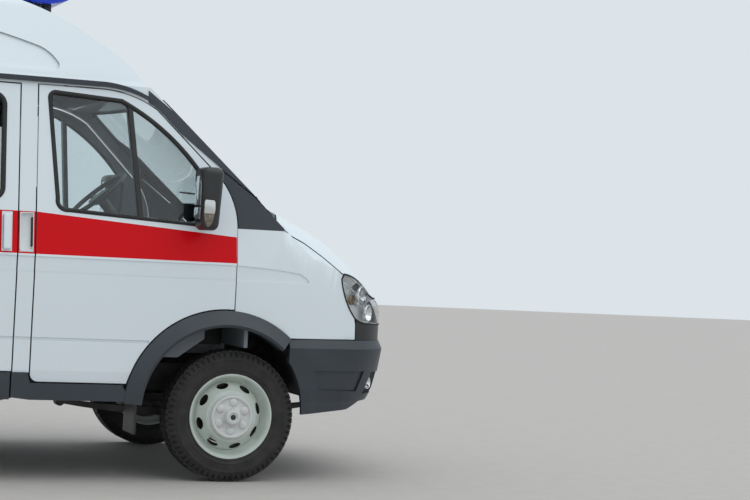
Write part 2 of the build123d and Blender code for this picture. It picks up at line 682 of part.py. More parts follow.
def rear_axle():
    """Axle tube with differential and spindles, and the propeller shaft that drives it."""
    axle = rod((REAR_AXLE_X, -530, AXLE_Z), (REAR_AXLE_X, 530, AXLE_Z), 50)
    axle += Pos(REAR_AXLE_X, 0, AXLE_Z) * Rot(90, 0, 0) * Cylinder(140, 130)
    axle += rod((REAR_AXLE_X, -REAR_TRACK / 2 - 76, AXLE_Z), (REAR_AXLE_X, REAR_TRACK / 2 + 76, AXLE_Z), HUB_BORE)
    for side in (-1, 1):
        axle += block(REAR_AXLE_X - 60, REAR_AXLE_X + 60, side * (RAIL_Y - 36), side * (RAIL_Y + 36),
                      AXLE_Z, REAR_PAD_Z - 0.6)
    axle += rod((REAR_AXLE_X + 100, 0, AXLE_Z), (REAR_AXLE_X + 260, 0, AXLE_Z + 12), 55)
    axle += rod((REAR_AXLE_X + 240, 0, AXLE_Z + 10), (GEARBOX_REAR_X - 2.7, 0, 470), 36)
    return axle


def engine():
    """Engine and gearbox as one plain mass between the rails."""
    motor = fillet(block(90, 680, -270, 270, 470, 1060).edges().filter_by(Axis.Z), 40)
    box = side_slab(-170, 170, (95, 400), (95, 640 - 10), (-200, 620), (GEARBOX_REAR_X, 540), (GEARBOX_REAR_X, 420))
    lugs = block(300, 420, -RAIL_Y + RAIL_WIDTH / 2, RAIL_Y - RAIL_WIDTH / 2, 500, 560)
    return motor + box + lugs


def exhaust():
    """Pipe under the right rail to a silencer, with its outlet ahead of the rear wheels."""
    bends = [(-300, -196, 470), (-560, -215, 400), (-960, -230, 392), (-1180, -640, 392), (-1320, -690, 440)]
    pipe_radius = 24
    solids = None
    for start, end in zip(bends, bends[1:]):
        run = rod(start, end, pipe_radius) + Pos(*end) * Sphere(pipe_radius)
        solids = run if solids is None else solids + run
    can = rod((-1300, -690, 445), (-1930, -690, 445), 88)
    tail = rod((-1900, -690, 430), (-2160, -720, 400), pipe_radius) + Pos(-2160, -720, 400) * Sphere(pipe_radius)
    tail += rod((-2160, -720, 400), (-2290, -960, 370), pipe_radius)
    hanger = block(-1640, -1600, -690, -RAIL_Y - RAIL_WIDTH / 2, 520, 540)
    return solids + can + tail + hanger


def fuel_tank():
    tank = fillet(block(-2100, -1250, RAIL_Y + RAIL_WIDTH / 2 + 30, 840, 350, 600).edges().filter_by(Axis.X), 45)
    straps = block(-1950, -1900, RAIL_Y + RAIL_WIDTH / 2, 600, 560, 580)
    straps += block(-1450, -1400, RAIL_Y + RAIL_WIDTH / 2, 600, 560, 580)
    return tank + straps


# Wheels
def wheel_disc():
    """Steel wheel facing +Y: barrel, dished disc with eight vents, hub."""
    barrel = [
        (RIM_RADIUS, 80), (RIM_SEAT + 4, 72), (RIM_SEAT, 40), (184, 20), (184, -20), (RIM_SEAT, -40),
        (RIM_SEAT + 4, -72), (RIM_RADIUS, -80), (RIM_RADIUS - RIM_BAND, -84), (RIM_SEAT - 4, -70),
        (196, -40), (177, -18), (177, 18), (196, 40), (RIM_SEAT - 4, 70), (RIM_RADIUS - RIM_BAND, 84),
    ]
    disc = [
        (180, 12), (180, 22), (150, 60), (128, 92), (112, 102), (40, 102), (40, 92), (108, 92), (120, 84),
        (143, 52), (172, 12),
    ]
    wheel = lathe(*barrel) + lathe(*disc)
    vent_radius = 160
    vents = 8
    for index in range(vents):
        turn = 360 / vents * index + 22.5
        slot = Plane.XZ * extrude(SlotOverall(58, 34), 130)
        slot = Pos(0, 118, vent_radius) * slot
        wheel -= Rot(0, turn, 0) * slot
    return wheel


def hub(low, high):
    """Hub barrel turning on the spindle, between two distances outward."""
    return lathe((HUB_BORE + SEAT_GAP, low), (62, low), (62, high), (HUB_BORE + SEAT_GAP, high))


def front_rim():
    """Front wheel: vented disc, hub, and a cap with six nut bulges."""
    wheel = wheel_disc() + hub(62, 98)
    cap = lathe((0, 102), (104, 102), (100, 118), (60, 124), (34, 128), (28, 142), (0, 144))
    bumps = 6
    for index in range(bumps):
        bump = Pos(0, 120, 84) * Rot(-90, 0, 0) * Cone(15, 9, 30)
        cap += Rot(0, 360 / bumps * index, 0) * bump
    return wheel + cap


def tyre():
    bead = RIM_SEAT + 3.6
    half = TYRE_WIDTH / 2
    wall = [(bead, 66), (RIM_RADIUS + 8, 88), (RIM_RADIUS + 60, half), (TYRE_RADIUS - 10, half - 14), (TYRE_RADIUS, half - 34)]
    far_wall = [(radius, -out) for radius, out in reversed(wall)]
    return lathe(*wall, *far_wall)


def rear_rims():
    """Twin wheels bolted back to back on one hub."""
    outer_wheel = Pos(0, TWIN_SPACING / 2, 0) * mirror(wheel_disc(), about=Plane.XZ)
    inner_wheel = Pos(0, -TWIN_SPACING / 2, 0) * wheel_disc()
    cap = lathe((0, 92), (50, 92), (62, 84), (62, 40), (HUB_BORE + 12, 40), (HUB_BORE + 12, 80), (0, 80))
    return outer_wheel + inner_wheel + hub(-70, 84) + cap


pieces["ladder_frame"] = ladder_frame()
pieces["engine"] = engine()
pieces["exhaust"] = exhaust()
pieces["fuel_tank"] = fuel_tank()
springs = leaf_spring(FRONT_EYES, 0, PAD_Z) + leaf_spring(REAR_EYES, REAR_AXLE_X, REAR_PAD_Z)
pieces["leaf_springs"] = springs + mirrored(springs)
pieces["front_axle"] = front_axle()
pieces["rear_axle"] = rear_axle()
pieces["knuckle_right"] = knuckle()
pieces["knuckle_left"] = mirrored(pieces["knuckle_right"])
front_wheel = front_rim()
rear_wheel = rear_rims()
tread_band = tyre()
twin_tyres = Pos(0, TWIN_SPACING / 2, 0) * tread_band + Pos(0, -TWIN_SPACING / 2, 0) * tread_band
for side_name, sign in (("left", 1), ("right", -1)):
    front_place = Pos(0, sign * FRONT_TRACK / 2, AXLE_Z)
    rear_place = Pos(REAR_AXLE_X, sign * REAR_TRACK / 2, AXLE_Z)
    for name, solid, place in (
        ("front_rim", front_wheel, front_place), ("front_tyre", tread_band, front_place),
        ("rear_rims", rear_wheel, rear_place), ("rear_tyres", twin_tyres, rear_place),
    ):
        facing = solid if sign > 0 else mirror(solid, about=Plane.XZ)
        pieces[f"{name}_{side_name}"] = place * facing


# Floor and cabin
def floor():
    """Floor pan with wheel boxes over the rear wheels, a raised covering down the cabin, and sills along both sides."""
    wall_y = HALF_WIDTH - WALL - SEAT_GAP
    door_clear_y = HALF_WIDTH - WALL - 12
    well_y = 500
    top_z = FLOOR_Z + FLOOR_THICK
    pan = block(REAR_X + 60, -1110, -wall_y, wall_y, FLOOR_Z, top_z)
    pan += block(-1111, -560, -door_clear_y, door_clear_y, FLOOR_Z, top_z)
    pan += block(-561, 55, -well_y, well_y, FLOOR_Z, top_z)
    box_half = 440
    box_y = 530
    box_wall = 15
    cover_y = box_y - box_wall - 10
    pan += block(REAR_X + 75, -1170, -cover_y, cover_y, top_z, top_z + COVER_THICK)
    for side in (-1, 1):
        pan -= block(REAR_AXLE_X - box_half, REAR_AXLE_X + box_half, side * box_y, side * 1000, 600, 900)
        box = block(REAR_AXLE_X - box_half - box_wall, REAR_AXLE_X + box_half + box_wall,
                    side * (box_y - box_wall), side * wall_y, FLOOR_Z, WHEEL_BOX_Z)
        hollow = block(REAR_AXLE_X - box_half, REAR_AXLE_X + box_half, side * box_y, side * 1000,
                       FLOOR_Z - 10, WHEEL_BOX_Z - box_wall)
        pan += box - hollow
        pan += block(-2380, -600, side * 850, side * door_clear_y, 430, FLOOR_Z)
    return pan


def wheel_liners():
    """Arched liners over the front wheels, closed on the inside where they reach into the cab, and mud flaps."""
    liner_radius = ARCH_INNER + 45
    liner_wall = 14
    inner_y = 490
    outer_y = HALF_WIDTH - WALL - 12
    solids = None
    for side in (-1, 1):
        centre = Pos(ARCH_X, side * (inner_y + outer_y) / 2, ARCH_Z) * Rot(90, 0, 0)
        disc = centre * Cylinder(liner_radius, outer_y - inner_y)
        hollow = centre * Cylinder(liner_radius - liner_wall, outer_y)
        liner = (disc - hollow) & block(-600, 500, side * inner_y, side * outer_y, 450, 900)
        liner += disc & block(-520, 55, side * (inner_y + 11), side * (inner_y + 22), FLOOR_Z + FLOOR_THICK, 900)
        liner -= block(55.7, 76.3, side * 400, side * 1000, 600, 1000)
        liner -= block(-570, 55.3, side * 400, side * 500.3, 600, FLOOR_Z + FLOOR_THICK + SEAT_GAP)
        liner -= block(-700, -559.7, side * 400, side * 1000, 400, 1000)
        liner -= block(-700, -500, side * 400, side * 1000, 400, FLOOR_Z + FLOOR_THICK + SEAT_GAP)
        liner += block(-512, -500, side * 700, side * (HALF_WIDTH - WALL - SEAT_GAP), 240, 470)
        solids = liner if solids is None else solids + liner
    return solids


def firewall():
    """Bulkhead between engine and cab, with the pillars, hinge blocks and brackets that carry doors and bonnet."""
    wall_y = HALF_WIDTH - WALL - 12
    inner_body = body_block(PANEL + SEAT_GAP)
    wall = block(56, 76, -wall_y, wall_y, 700, 1310) & inner_body
    wall += block(56, 76, -498, 498, FLOOR_Z, 705)
    rise = 4 / (1320 - arch_z(DOOR_FRONT_X, door_arch))
    for side in (-1, 1):
        wall += block(-10, 60, side * 800, side * wall_y, 880, 1310)
        for z in (930, 1170):
            frame_x = DOOR_FRONT_X - 16 + rise * (z + 55 - arch_z(DOOR_FRONT_X, door_arch))
            wall += block(frame_x + 2 * SEAT_GAP, 0, side * 885, side * 936, z, z + 55)
        wall += block(56, 300, side * 680, side * 692, 1270, 1312)
        wall += block(212, 300, side * 680, side * 692, 1270, 1500) & inner_body
    return wall


def seats():
    """Two cab seats on pedestals."""
    shape = [
        (-520, 900), (-505, 985), (-560, 1010), (-880, 985), (-1000, 1520), (-1085, 1500), (-1000, 905),
    ]
    solids = None
    for centre in (-450, 450):
        chair = side_slab(centre - 240, centre + 240, *shape)
        chair += block(-960, -560, centre - 190, centre + 190, FLOOR_Z + FLOOR_THICK + SEAT_GAP, 905)
        chair += Pos(-1058, centre, 1590) * Rot(0, -8, 0) * Box(70, 250, 150)
        chair += Pos(-1050, centre, 1515) * Box(30, 90, 60)
        solids = chair if solids is None else solids + chair
    return solids


column_place = Pos(*STEER_HUB) * Rot(0, STEER_TILT - 90, 0)


def dashboard():
    """Dashboard across the cab, with the steering column."""
    shape = [(55.7, 1300), (-180, 1345), (-270, 1310), (-300, 1180), (-230, 1000), (55.7, 960)]
    board = side_slab(-795, 795, *shape)
    return board - column_place * Pos(0, 0, -150) * Cylinder(COLUMN_RADIUS + SEAT_GAP, 260)


def steering_wheel():
    """Rim, three spokes, boss and column, tilted towards the driver."""
    ring = revolve(Plane.XZ * Pos(190, 0) * RegularPolygon(13, 8), Axis.Z, 360)
    boss = Pos(0, 0, -18) * Cylinder(48, 36)
    wheel = ring + boss
    for turn in (0, 120, 240):
        wheel += Rot(0, 0, turn + 90) * Pos(110, 0, -8) * Box(150, 24, 12)
    column = Pos(0, 0, -150) * Cylinder(COLUMN_RADIUS, 260)
    return column_place * (wheel + column)


def partition():
    """Wall between cab and patient cabin, with a window."""
    sheet = block(-1152, -1132, -920, 920, FLOOR_Z + FLOOR_THICK + SEAT_GAP, 2300)
    low = flank_core(WALL + SEAT_GAP) & block(-1200, -1100, -1000, 1000, 600, GUTTER_Z + 1)
    high = roof_block(40) & block(-1200, -1100, -1000, 1000, GUTTER_Z, 2500)
    return (sheet & (low + high)) - block(-1200, -1100, -360, 360, 1380, 1800)


def bumper_outline(inset, tuck):
    """Plan of the front bumper, pulled in all round by inset and at the corners and front by tuck."""
    both = inset + tuck
    side = inset + tuck * 0.3
    right = [
        (250, -985 + side), (420, -970 + side), (640 - 0.2 * both, -925 + inset + 0.5 * tuck),
        (807 - 0.65 * both, -850 + 0.76 * both, 912 - 0.94 * both, -700 + 0.34 * both),
    ]
    tip_x = BUMPER_TIP_X - inset - 0.7 * tuck
    corner = right[3]
    return face_of(
        *right, (tip_x, 0, corner[2], -corner[3]), (corner[0], -corner[1], right[2][0], -right[2][1]),
        (right[1][0], -right[1][1]), (right[0][0], -right[0][1]),
    )


def bumper_form(*levels):
    """Solid through the bumper's plan at each level (z, inset, tuck)."""
    return loft([Pos(0, 0, z) * bumper_outline(inset, tuck) for z, inset, tuck in levels], ruled=True)


def front_bumper():
    """Wrap-round bumper with a bevelled ledge, a sunk side panel, lamp recesses and an air intake."""
    band = 48
    low = [(340, 95), (430, 75), (490, 44), (590, 18), (710, 0)]
    outside = bumper_form(*[(z, 0, tuck) for z, tuck in low], (BUMPER_TOP_Z, 22, 0))
    inside = bumper_form(*[(z, band, tuck) for z, tuck in low], (BUMPER_TOP_Z - 30, band, 0))
    skin = outside - inside - block(200, 450, -924, 924, 330, BUMPER_TOP_Z - 30)
    skin -= Pos(0, 0, BUMPER_TOP_Z - 31) * extrude(bumper_outline(band + 70, 0), 50)
    arch = Pos(ARCH_X, 0, ARCH_Z) * Rot(90, 0, 0) * Cylinder(ARCH_INNER, 2400)
    skin -= arch
    skin -= block(200, ARCH_X + ARCH_INNER, -1100, 1100, 300, ARCH_Z)
    skin -= side_slab(-1100, 1100, (300, 300), (300, 352), (665, 385), (757, 426), (1100, 436), (1100, 300))
    ring = Pos(ARCH_X, 0, ARCH_Z) * Rot(90, 0, 0) * Cylinder(ARCH_OUTER, 2400)
    skin -= ring & block(200, 290, -1100, 1100, 600, 800)
    panel_depth = 10
    recess_depth = 30
    panel_skin = outside - bumper_form(*[(z, panel_depth, tuck) for z, tuck in low])
    recess_skin = outside - bumper_form(*[(z, recess_depth, tuck) for z, tuck in low])
    panel = side_slab(-1100, -700, (438, 592), (452, 520), (476, 490), (712, 483), (752, 592))
    recess = side_slab(-1100, -600, (765, 466), (812, 586), (1100, 586), (1100, 466))
    cuts = (panel_skin & panel) + (recess_skin & recess)
    skin -= cuts
    skin -= mirrored(cuts)
    intake = block(880, 1100, -420, 420, 470, 590)
    arms = block(760 + SEAT_GAP, 935, -RAIL_Y - 30, -RAIL_Y + 30, 480, 550)
    return (skin - intake) + arms + mirrored(arms)


def rear_step():
    """Black rear bumper that doubles as a step."""
    plan = ((REAR_X - 2, -950), (REAR_X - 45, -950), (-4516, -932, STEP_REAR_X, -890), (STEP_REAR_X, 890),
            (-4516, 932, REAR_X - 45, 950), (REAR_X - 2, 950))
    arm = block(REAR_X - 10, -4380 - SEAT_GAP, -RAIL_Y - 30, -RAIL_Y + 30, 430, 540)
    return plan_plate(395, 470, *plan) + arm + mirrored(arm)


def tail_lamps():
    lamp_unit = fillet(block(REAR_X - 12, REAR_X - SEAT_GAP, -975, -925, 760, 1120).edges().filter_by(Axis.X), 8)
    return lamp_unit + mirrored(lamp_unit)


def light_bar():
    """Oval blue lens across the roof, on two feet that follow the roof."""
    oval = face_of((-100, -38), (-145, 0, -100, 38), (0, 54, 100, 38), (145, 0, 100, -38), (0, -54, -100, -38))
    lens = Pos(BAR_X, BAR_HALF_LENGTH, BAR_Z) * extrude(Plane.XZ * oval, 2 * BAR_HALF_LENGTH)
    feet = block(BAR_X - 60, BAR_X + 70, -470, -420, 2300, BAR_Z) + block(BAR_X - 60, BAR_X + 70, 420, 470, 2300, BAR_Z)
    return lens + (feet - roof_block(0))


def floodlights():
    """Round work lamps, each with its neck seated in the roof's sunk side panel."""
    lamp_unit = Cylinder(63, 62) + Pos(0, 0, -45) * Cylinder(34, 60)
    lamp_unit = Pos(FLOODLIGHT_X, -778, FLOODLIGHT_Z) * Rot(90, 0, 0) * lamp_unit
    lamp_unit -= roof_block(ROOF_SINK - SEAT_GAP)
    return lamp_unit + mirrored(lamp_unit)


pieces["floor"] = floor()
pieces["firewall"] = firewall()
pieces["wheel_liners"] = wheel_liners()
pieces["seats"] = seats()
pieces["dashboard"] = dashboard()
pieces["steering_wheel"] = steering_wheel()
pieces["partition"] = partition()
pieces["front_bumper"] = front_bumper()
pieces["rear_step"] = rear_step()
pieces["tail_lamps"] = tail_lamps()
pieces["light_bar"] = light_bar()
pieces["floodlights"] = floodlights()

os.makedirs("parts", exist_ok=True)
for name, solid in pieces.items():
    export_step(Pos(ORIGIN_SHIFT, 0, 0) * solid, f"parts/{name}.step")
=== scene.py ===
# %% [markdown]
# # A high-roof ambulance, dressed for a photograph
# The metal of this van comes ready made: every panel, wheel and axle is a solid at its real size, on the body
# that carries it. This notebook gives it its looks. It starts with the camera, because every shape is judged
# through it, goes on to the finishes, and then models what is too fine for the solids: tyre tread, window
# rubbers, lamps, seats, wipers and the small fittings that the eye expects. The light comes last.

# %% Load the solids as a fixed frame
import bpy
import math
import numpy
from mathutils import Matrix, Vector


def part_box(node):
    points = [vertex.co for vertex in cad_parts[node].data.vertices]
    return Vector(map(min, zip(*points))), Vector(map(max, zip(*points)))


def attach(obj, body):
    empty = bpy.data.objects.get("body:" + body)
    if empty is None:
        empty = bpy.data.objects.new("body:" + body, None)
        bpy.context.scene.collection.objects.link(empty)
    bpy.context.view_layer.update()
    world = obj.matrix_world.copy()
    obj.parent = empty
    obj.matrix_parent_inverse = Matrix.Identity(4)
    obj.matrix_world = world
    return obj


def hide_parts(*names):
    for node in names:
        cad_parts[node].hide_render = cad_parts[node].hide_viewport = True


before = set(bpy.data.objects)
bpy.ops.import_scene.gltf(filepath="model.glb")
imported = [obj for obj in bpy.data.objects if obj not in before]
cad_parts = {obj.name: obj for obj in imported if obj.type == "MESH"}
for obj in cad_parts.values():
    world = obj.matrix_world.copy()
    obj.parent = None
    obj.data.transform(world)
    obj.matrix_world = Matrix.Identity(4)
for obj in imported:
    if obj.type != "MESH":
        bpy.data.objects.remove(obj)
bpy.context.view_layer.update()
bpy.context.scene.view_settings.view_transform = "Standard"

tyre_low, tyre_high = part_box("front_tyre_right")
AXLE_X = (tyre_low.x + tyre_high.x) / 2
AXLE_Z = (tyre_low.z + tyre_high.z) / 2
TYRE_RADIUS = (tyre_high.z - tyre_low.z) / 2
TYRE_HALF_WIDTH = (tyre_high.y - tyre_low.y) / 2
WHEEL_Y = -(tyre_low.y + tyre_high.y) / 2
SIDES = (("right", -1), ("left", 1))
print("front axle at", round(AXLE_X, 3), "tyre radius", round(TYRE_RADIUS, 3), "wheel at", round(WHEEL_Y, 3))

# %% [markdown]
# ## The camera
# The photograph was taken with a long lens, low down and from the right, looking 21 degrees ahead of square.
# A long lens keeps the side nearly flat. The camera leans by 3 degrees, which is why the row of vans seems to
# run downhill. Its matrix is built from three directions: right, up and backwards.

# %% Camera as the photographer held it
TURN = math.radians(21)
LEAN = math.radians(3.0)
LENS_PIXELS = 1900
FRAME_WIDTH = 750
SENSOR_MM = 36

ahead = Vector((math.sin(TURN), math.cos(TURN), 0))
level_right = Vector((math.cos(TURN), -math.sin(TURN), 0))
level_up = Vector((0, 0, 1))
right = level_right * math.cos(LEAN) + level_up * math.sin(LEAN)
up = level_up * math.cos(LEAN) - level_right * math.sin(LEAN)

bpy.ops.object.camera_add(location=(AXLE_X - 2.88, -10.4, 1.245))
camera = bpy.context.object
camera.rotation_euler = Matrix((right, up, -ahead)).transposed().to_euler()
camera.data.sensor_width = SENSOR_MM
camera.data.lens = SENSOR_MM * LENS_PIXELS / FRAME_WIDTH
camera.data.clip_end = 200
bpy.context.scene.camera = camera
print("lens", round(camera.data.lens, 1), "mm")

# %% [markdown]
# ## Building finishes from nodes
# Small helpers keep the node code readable: one adds a node, one joins an output to an input, and the others
# each add one habit of a real finish. Object coordinates are used throughout, so a pattern has the same scale on
# every panel and stays put when a door swings.

# %% Helpers for node materials
def surface(name, colour, roughness, metallic=0.0, coat=0.0, glass=None, drift=None, gloss=None, relief=None):
    """A principled surface. The last four hold the arguments of clear, mottle, uneven_gloss and grain."""
    material = bpy.data.materials.new(name)
    material.use_nodes = True
    plain = {"Base Color": (*colour, 1), "Roughness": roughness, "Metallic": metallic, "Coat Weight": coat,
             "Coat Roughness": 0.04}
    for socket, value in plain.items():
        shader_of(material).inputs[socket].default_value = value
    material.diffuse_color = (*colour, 1)
    for habit, settings in ((clear, glass), (mottle, drift), (uneven_gloss, gloss), (grain, relief)):
        if settings:
            habit(material, *settings)
    return material


def shader_of(material):
    return material.node_tree.nodes["Principled BSDF"]


def add(material, kind, **settings):
    """A node of that kind, with its settings."""
    node = material.node_tree.nodes.new("ShaderNode" + kind)
    for key, value in settings.items():
        setattr(node, key, value)
    return node


def join(material, output, target):
    material.node_tree.links.new(output, target)


def number(material, operation, first, second=0.0):
    """One step of arithmetic. Each side is a number or another node's output."""
    node = add(material, "Math", operation=operation)
    for index, value in enumerate((first, second)):
        if isinstance(value, (int, float)):
            node.inputs[index].default_value = value
        else:
            join(material, value, node.inputs[index])
    return node.outputs[0]


def place(material, output="Object"):
    """Coordinates of the piece itself."""
    return (material.node_tree.nodes.get("Texture Coordinate") or add(material, "TexCoord")).outputs[output]


def xyz(material):
    """The three coordinates, one by one."""
    split = add(material, "SeparateXYZ")
    join(material, place(material), split.inputs[0])
    return split.outputs


def pattern(material, kind, scale, **settings):
    """A noise or wave of that scale."""
    texture = add(material, kind, **settings)
    texture.inputs["Scale"].default_value = scale
    join(material, place(material), texture.inputs["Vector"])
    return texture


def spread(material, value, from_low, from_high, to_low, to_high):
    """A value stretched from one range to another."""
    node = add(material, "MapRange")
    for socket, end in zip(("From Min", "From Max", "To Min", "To Max"), (from_low, from_high, to_low, to_high)):
        node.inputs[socket].default_value = end
    join(material, value, node.inputs["Value"])
    return node.outputs[0]


def raised(material, height, distance):
    """Relief from a height, laid over the relief that the surface has."""
    bump = add(material, "Bump")
    bump.inputs["Distance"].default_value = distance
    join(material, height, bump.inputs["Height"])
    normal = shader_of(material).inputs["Normal"]
    if normal.links:
        join(material, normal.links[0].from_socket, bump.inputs["Normal"])
    join(material, bump.outputs[0], normal)


def clear(material, transmission, ior):
    shader_of(material).inputs["Transmission Weight"].default_value = transmission
    shader_of(material).inputs["IOR"].default_value = ior


def grain(material, scale, height, detail=3.0):
    """Fine relief: noise of that scale, that many metres high."""
    noise = pattern(material, "TexNoise", scale)
    noise.inputs["Detail"].default_value = detail
    raised(material, noise.outputs["Fac"], height)


def mottle(material, scale, dark, light):
    """Colour that drifts between two close shades, as real finishes do."""
    noise = pattern(material, "TexNoise", scale)
    noise.inputs["Detail"].default_value = 5.0
    ramp = add(material, "ValToRGB")
    for element, position, colour in zip(ramp.color_ramp.elements, (0.35, 0.65), (dark, light)):
        element.position = position
        element.color = (*colour, 1)
    join(material, noise.outputs["Fac"], ramp.inputs["Fac"])
    join(material, ramp.outputs["Color"], shader_of(material).inputs["Base Color"])


def uneven_gloss(material, scale, low, high):
    """Roughness that varies a little across the surface."""
    noise = pattern(material, "TexNoise", scale)
    join(material, spread(material, noise.outputs["Fac"], 0, 1, low, high), shader_of(material).inputs["Roughness"])


def blend(material, factor, below, above):
    """A colour that goes from below to above as the factor goes from 0 to 1."""
    mix = add(material, "Mix", data_type="RGBA")
    for socket, value in ((mix.inputs[0], factor), (mix.inputs[6], below), (mix.inputs[7], above)):
        if isinstance(value, tuple):
            socket.default_value = (*value, 1)
        else:
            join(material, value, socket)
    return mix.outputs[2]


print("material helpers ready")

# %% [markdown]
# ## Paint
# The body is gloss white over steel, with a red band of vinyl along the side. The band is told from its
# place: between two heights, behind the front edge of the door, and on the flanks only. The inner faces of the
# same panels wear a grey lining. They are found by asking whether a face looks away from the middle of the
# van, which is the dot product of its normal with its place. The foot of the screen pillars is dark trim.

# %% White paint with the red band and the inner lining
WHITE = (0.785, 0.845, 0.885)
RED = (0.68, 0.0, 0.005)
LINING = (0.24, 0.27, 0.30)
TRIM = (0.034, 0.041, 0.052)
BAND_LOW = 1.138
BAND_HIGH = 1.348
BAND_HIGH_AT_FRONT = 1.273
BAND_FRONT_X = AXLE_X - 0.024
BAND_SLOPE_X = AXLE_X - 1.06
FLANK_Y = 0.93
HANDLE_LOW, HANDLE_HIGH = 1.146, 1.342
HANDLES_X = ((-1.148, -1.079), (-1.238, -1.186))
CABIN_MIDDLE = (AXLE_X - 1.6, 0.0, 1.3)
PAINT_COAT = 0.5
BAND_COAT = 0.08


def band_mask(material, sides_only):
    """1 inside the red band, 0 outside it and on the white handles."""

    def both(first, second):
        return number(material, "MULTIPLY", first, second)

    def between(value, low, high):
        return both(number(material, "LESS_THAN", value, high), number(material, "GREATER_THAN", value, low))

    x, y, z = xyz(material)
    top = spread(material, x, BAND_SLOPE_X, BAND_FRONT_X, BAND_HIGH, BAND_HIGH_AT_FRONT)
    mask = both(between(z, BAND_LOW, top), number(material, "LESS_THAN", x, BAND_FRONT_X))
    if sides_only:
        mask = both(mask, number(material, "GREATER_THAN", number(material, "ABSOLUTE", y), FLANK_Y))
    for back, front in HANDLES_X:
        handle = both(between(x, AXLE_X + back, AXLE_X + front), between(z, HANDLE_LOW, HANDLE_HIGH))
        mask = both(mask, number(material, "SUBTRACT", 1.0, handle))
    return mask


def inner_mask(material):
    """1 on faces that look towards the middle of the van, 0 on its outer faces."""
    offset = add(material, "VectorMath", operation="SUBTRACT")
    join(material, place(material), offset.inputs[0])
    offset.inputs[1].default_value = CABIN_MIDDLE
    facing = add(material, "VectorMath", operation="DOT_PRODUCT")
    join(material, offset.outputs[0], facing.inputs[0])
    join(material, place(material, "Normal"), facing.inputs[1])
    return number(material, "LESS_THAN", facing.outputs["Value"], -0.12)


def body_paint(name, banded=True, sides_only=True, lined=True, dark_from_x=None):
    material = surface(name, WHITE, 0.34, coat=PAINT_COAT, drift=(1.3, tuple(c * 0.985
                                                                             for c in WHITE), WHITE), relief=(700, 0.00002, 1.0))
    sockets = shader_of(material).inputs
    sockets["Specular IOR Level"].default_value = 0.15
    colour = sockets["Base Color"].links[0].from_socket
    if banded:
        mask = band_mask(material, sides_only)
        colour = blend(material, mask, colour, RED)
        less = number(material, "MULTIPLY", mask, PAINT_COAT - BAND_COAT)
        join(material, number(material, "SUBTRACT", PAINT_COAT, less), sockets["Coat Weight"])
    if lined:
        colour = blend(material, inner_mask(material), colour, LINING)
    if dark_from_x is not None:
        colour = blend(material, number(material, "GREATER_THAN", xyz(material)[0], dark_from_x), colour, TRIM)
    join(material, colour, sockets["Base Color"])
    return material


side_paint = body_paint("side_paint")
rear_paint = body_paint("rear_paint", sides_only=False)
plain_paint = body_paint("plain_paint", banded=False, lined=False)
roof_paint = body_paint("roof_moulding", banded=False)
pillar_paint = body_paint("pillar_paint", banded=False, dark_from_x=AXLE_X - 0.105)
print("paints:", side_paint.name, rear_paint.name, plain_paint.name, roof_paint.name, pillar_paint.name)

# %% [markdown]
# ## Plastics, rubber, metal and glass
# Moulded plastic is matt because its mould was etched, so it gets a fine grain and a slow drift of gloss.
# Rubber is darker and softer. The wheels are painted a pale grey-green. Glass is clear at the cab and frosted
# in the lower part of the patient cabin's windows.

# %% Plastics and rubber
trim_plastic = surface("trim_plastic", TRIM, 0.46, drift=(6, (0.031, 0.038, 0.048), (0.038, 0.046, 0.058)),
                       gloss=(9, 0.38, 0.54), relief=(1400, 0.00018, 2.0))
black_plastic = surface("black_plastic", (0.018, 0.019, 0.021), 0.42,
                        drift=(8, (0.016, 0.017, 0.018), (0.024, 0.025, 0.027)),
                        relief=(1100, 0.00012, 2.0))
seal_rubber = surface("seal_rubber", (0.014, 0.014, 0.015), 0.62,
                      drift=(12, (0.012, 0.012, 0.013), (0.022, 0.021, 0.020)),
                      relief=(900, 0.0001, 2.0))
tyre_rubber = surface("tyre_rubber", (0.022, 0.021, 0.021), 0.72,
                      drift=(14, (0.014, 0.013, 0.014), (0.030, 0.027, 0.026)),
                      relief=(500, 0.0003, 4.0))
floor_cover = surface("floor_cover", (0.16, 0.17, 0.18), 0.6,
                      drift=(30, (0.13, 0.14, 0.15), (0.20, 0.21, 0.22)), relief=(300, 0.0006))
dash_plastic = surface("dash_plastic", (0.12, 0.135, 0.155), 0.6,
                       drift=(5, (0.11, 0.125, 0.145), (0.135, 0.15, 0.17)),
                       relief=(650, 0.0004, 4.0))
inner_lining = surface("inner_lining", LINING, 0.7, relief=(400, 0.0004),
                       drift=(4, tuple(c * 0.92 for c in LINING), tuple(c * 1.08 for c in LINING)))
white_plastic = surface("white_plastic", (0.78, 0.80, 0.81), 0.35,
                        drift=(8, (0.75, 0.77, 0.78), (0.80, 0.82, 0.83)),
                        relief=(600, 0.00005))
print("plastics ready")

# %% Metals and paints of the running gear
chassis_paint = surface("chassis_paint", (0.02, 0.02, 0.021), 0.45,
                        drift=(7, (0.015, 0.015, 0.016), (0.045, 0.040, 0.036)),
                        relief=(160, 0.0006))
cast_metal = surface("cast_metal", (0.05, 0.048, 0.046), 0.7, metallic=0.4,
                     drift=(18, (0.030, 0.028, 0.027), (0.085, 0.078, 0.070)),
                     relief=(220, 0.0012, 6.0))
pipe_steel = surface("pipe_steel", (0.34, 0.31, 0.27), 0.42, metallic=0.9,
                     drift=(9, (0.22, 0.16, 0.11), (0.42, 0.39, 0.35)),
                     relief=(120, 0.0004))
wheel_paint = surface("wheel_paint", (0.58, 0.63, 0.58), 0.38, coat=0.2,
                      drift=(9, (0.55, 0.60, 0.55), (0.61, 0.66, 0.61)),
                      relief=(420, 0.00006))
cap_paint = surface("cap_paint", (0.63, 0.64, 0.625), 0.36, coat=0.25,
                    drift=(12, (0.60, 0.61, 0.595), (0.66, 0.67, 0.655)),
                    relief=(500, 0.00005))
bright_metal = surface("bright_metal", (0.78, 0.79, 0.80), 0.09, metallic=1.0, gloss=(30, 0.05, 0.14))
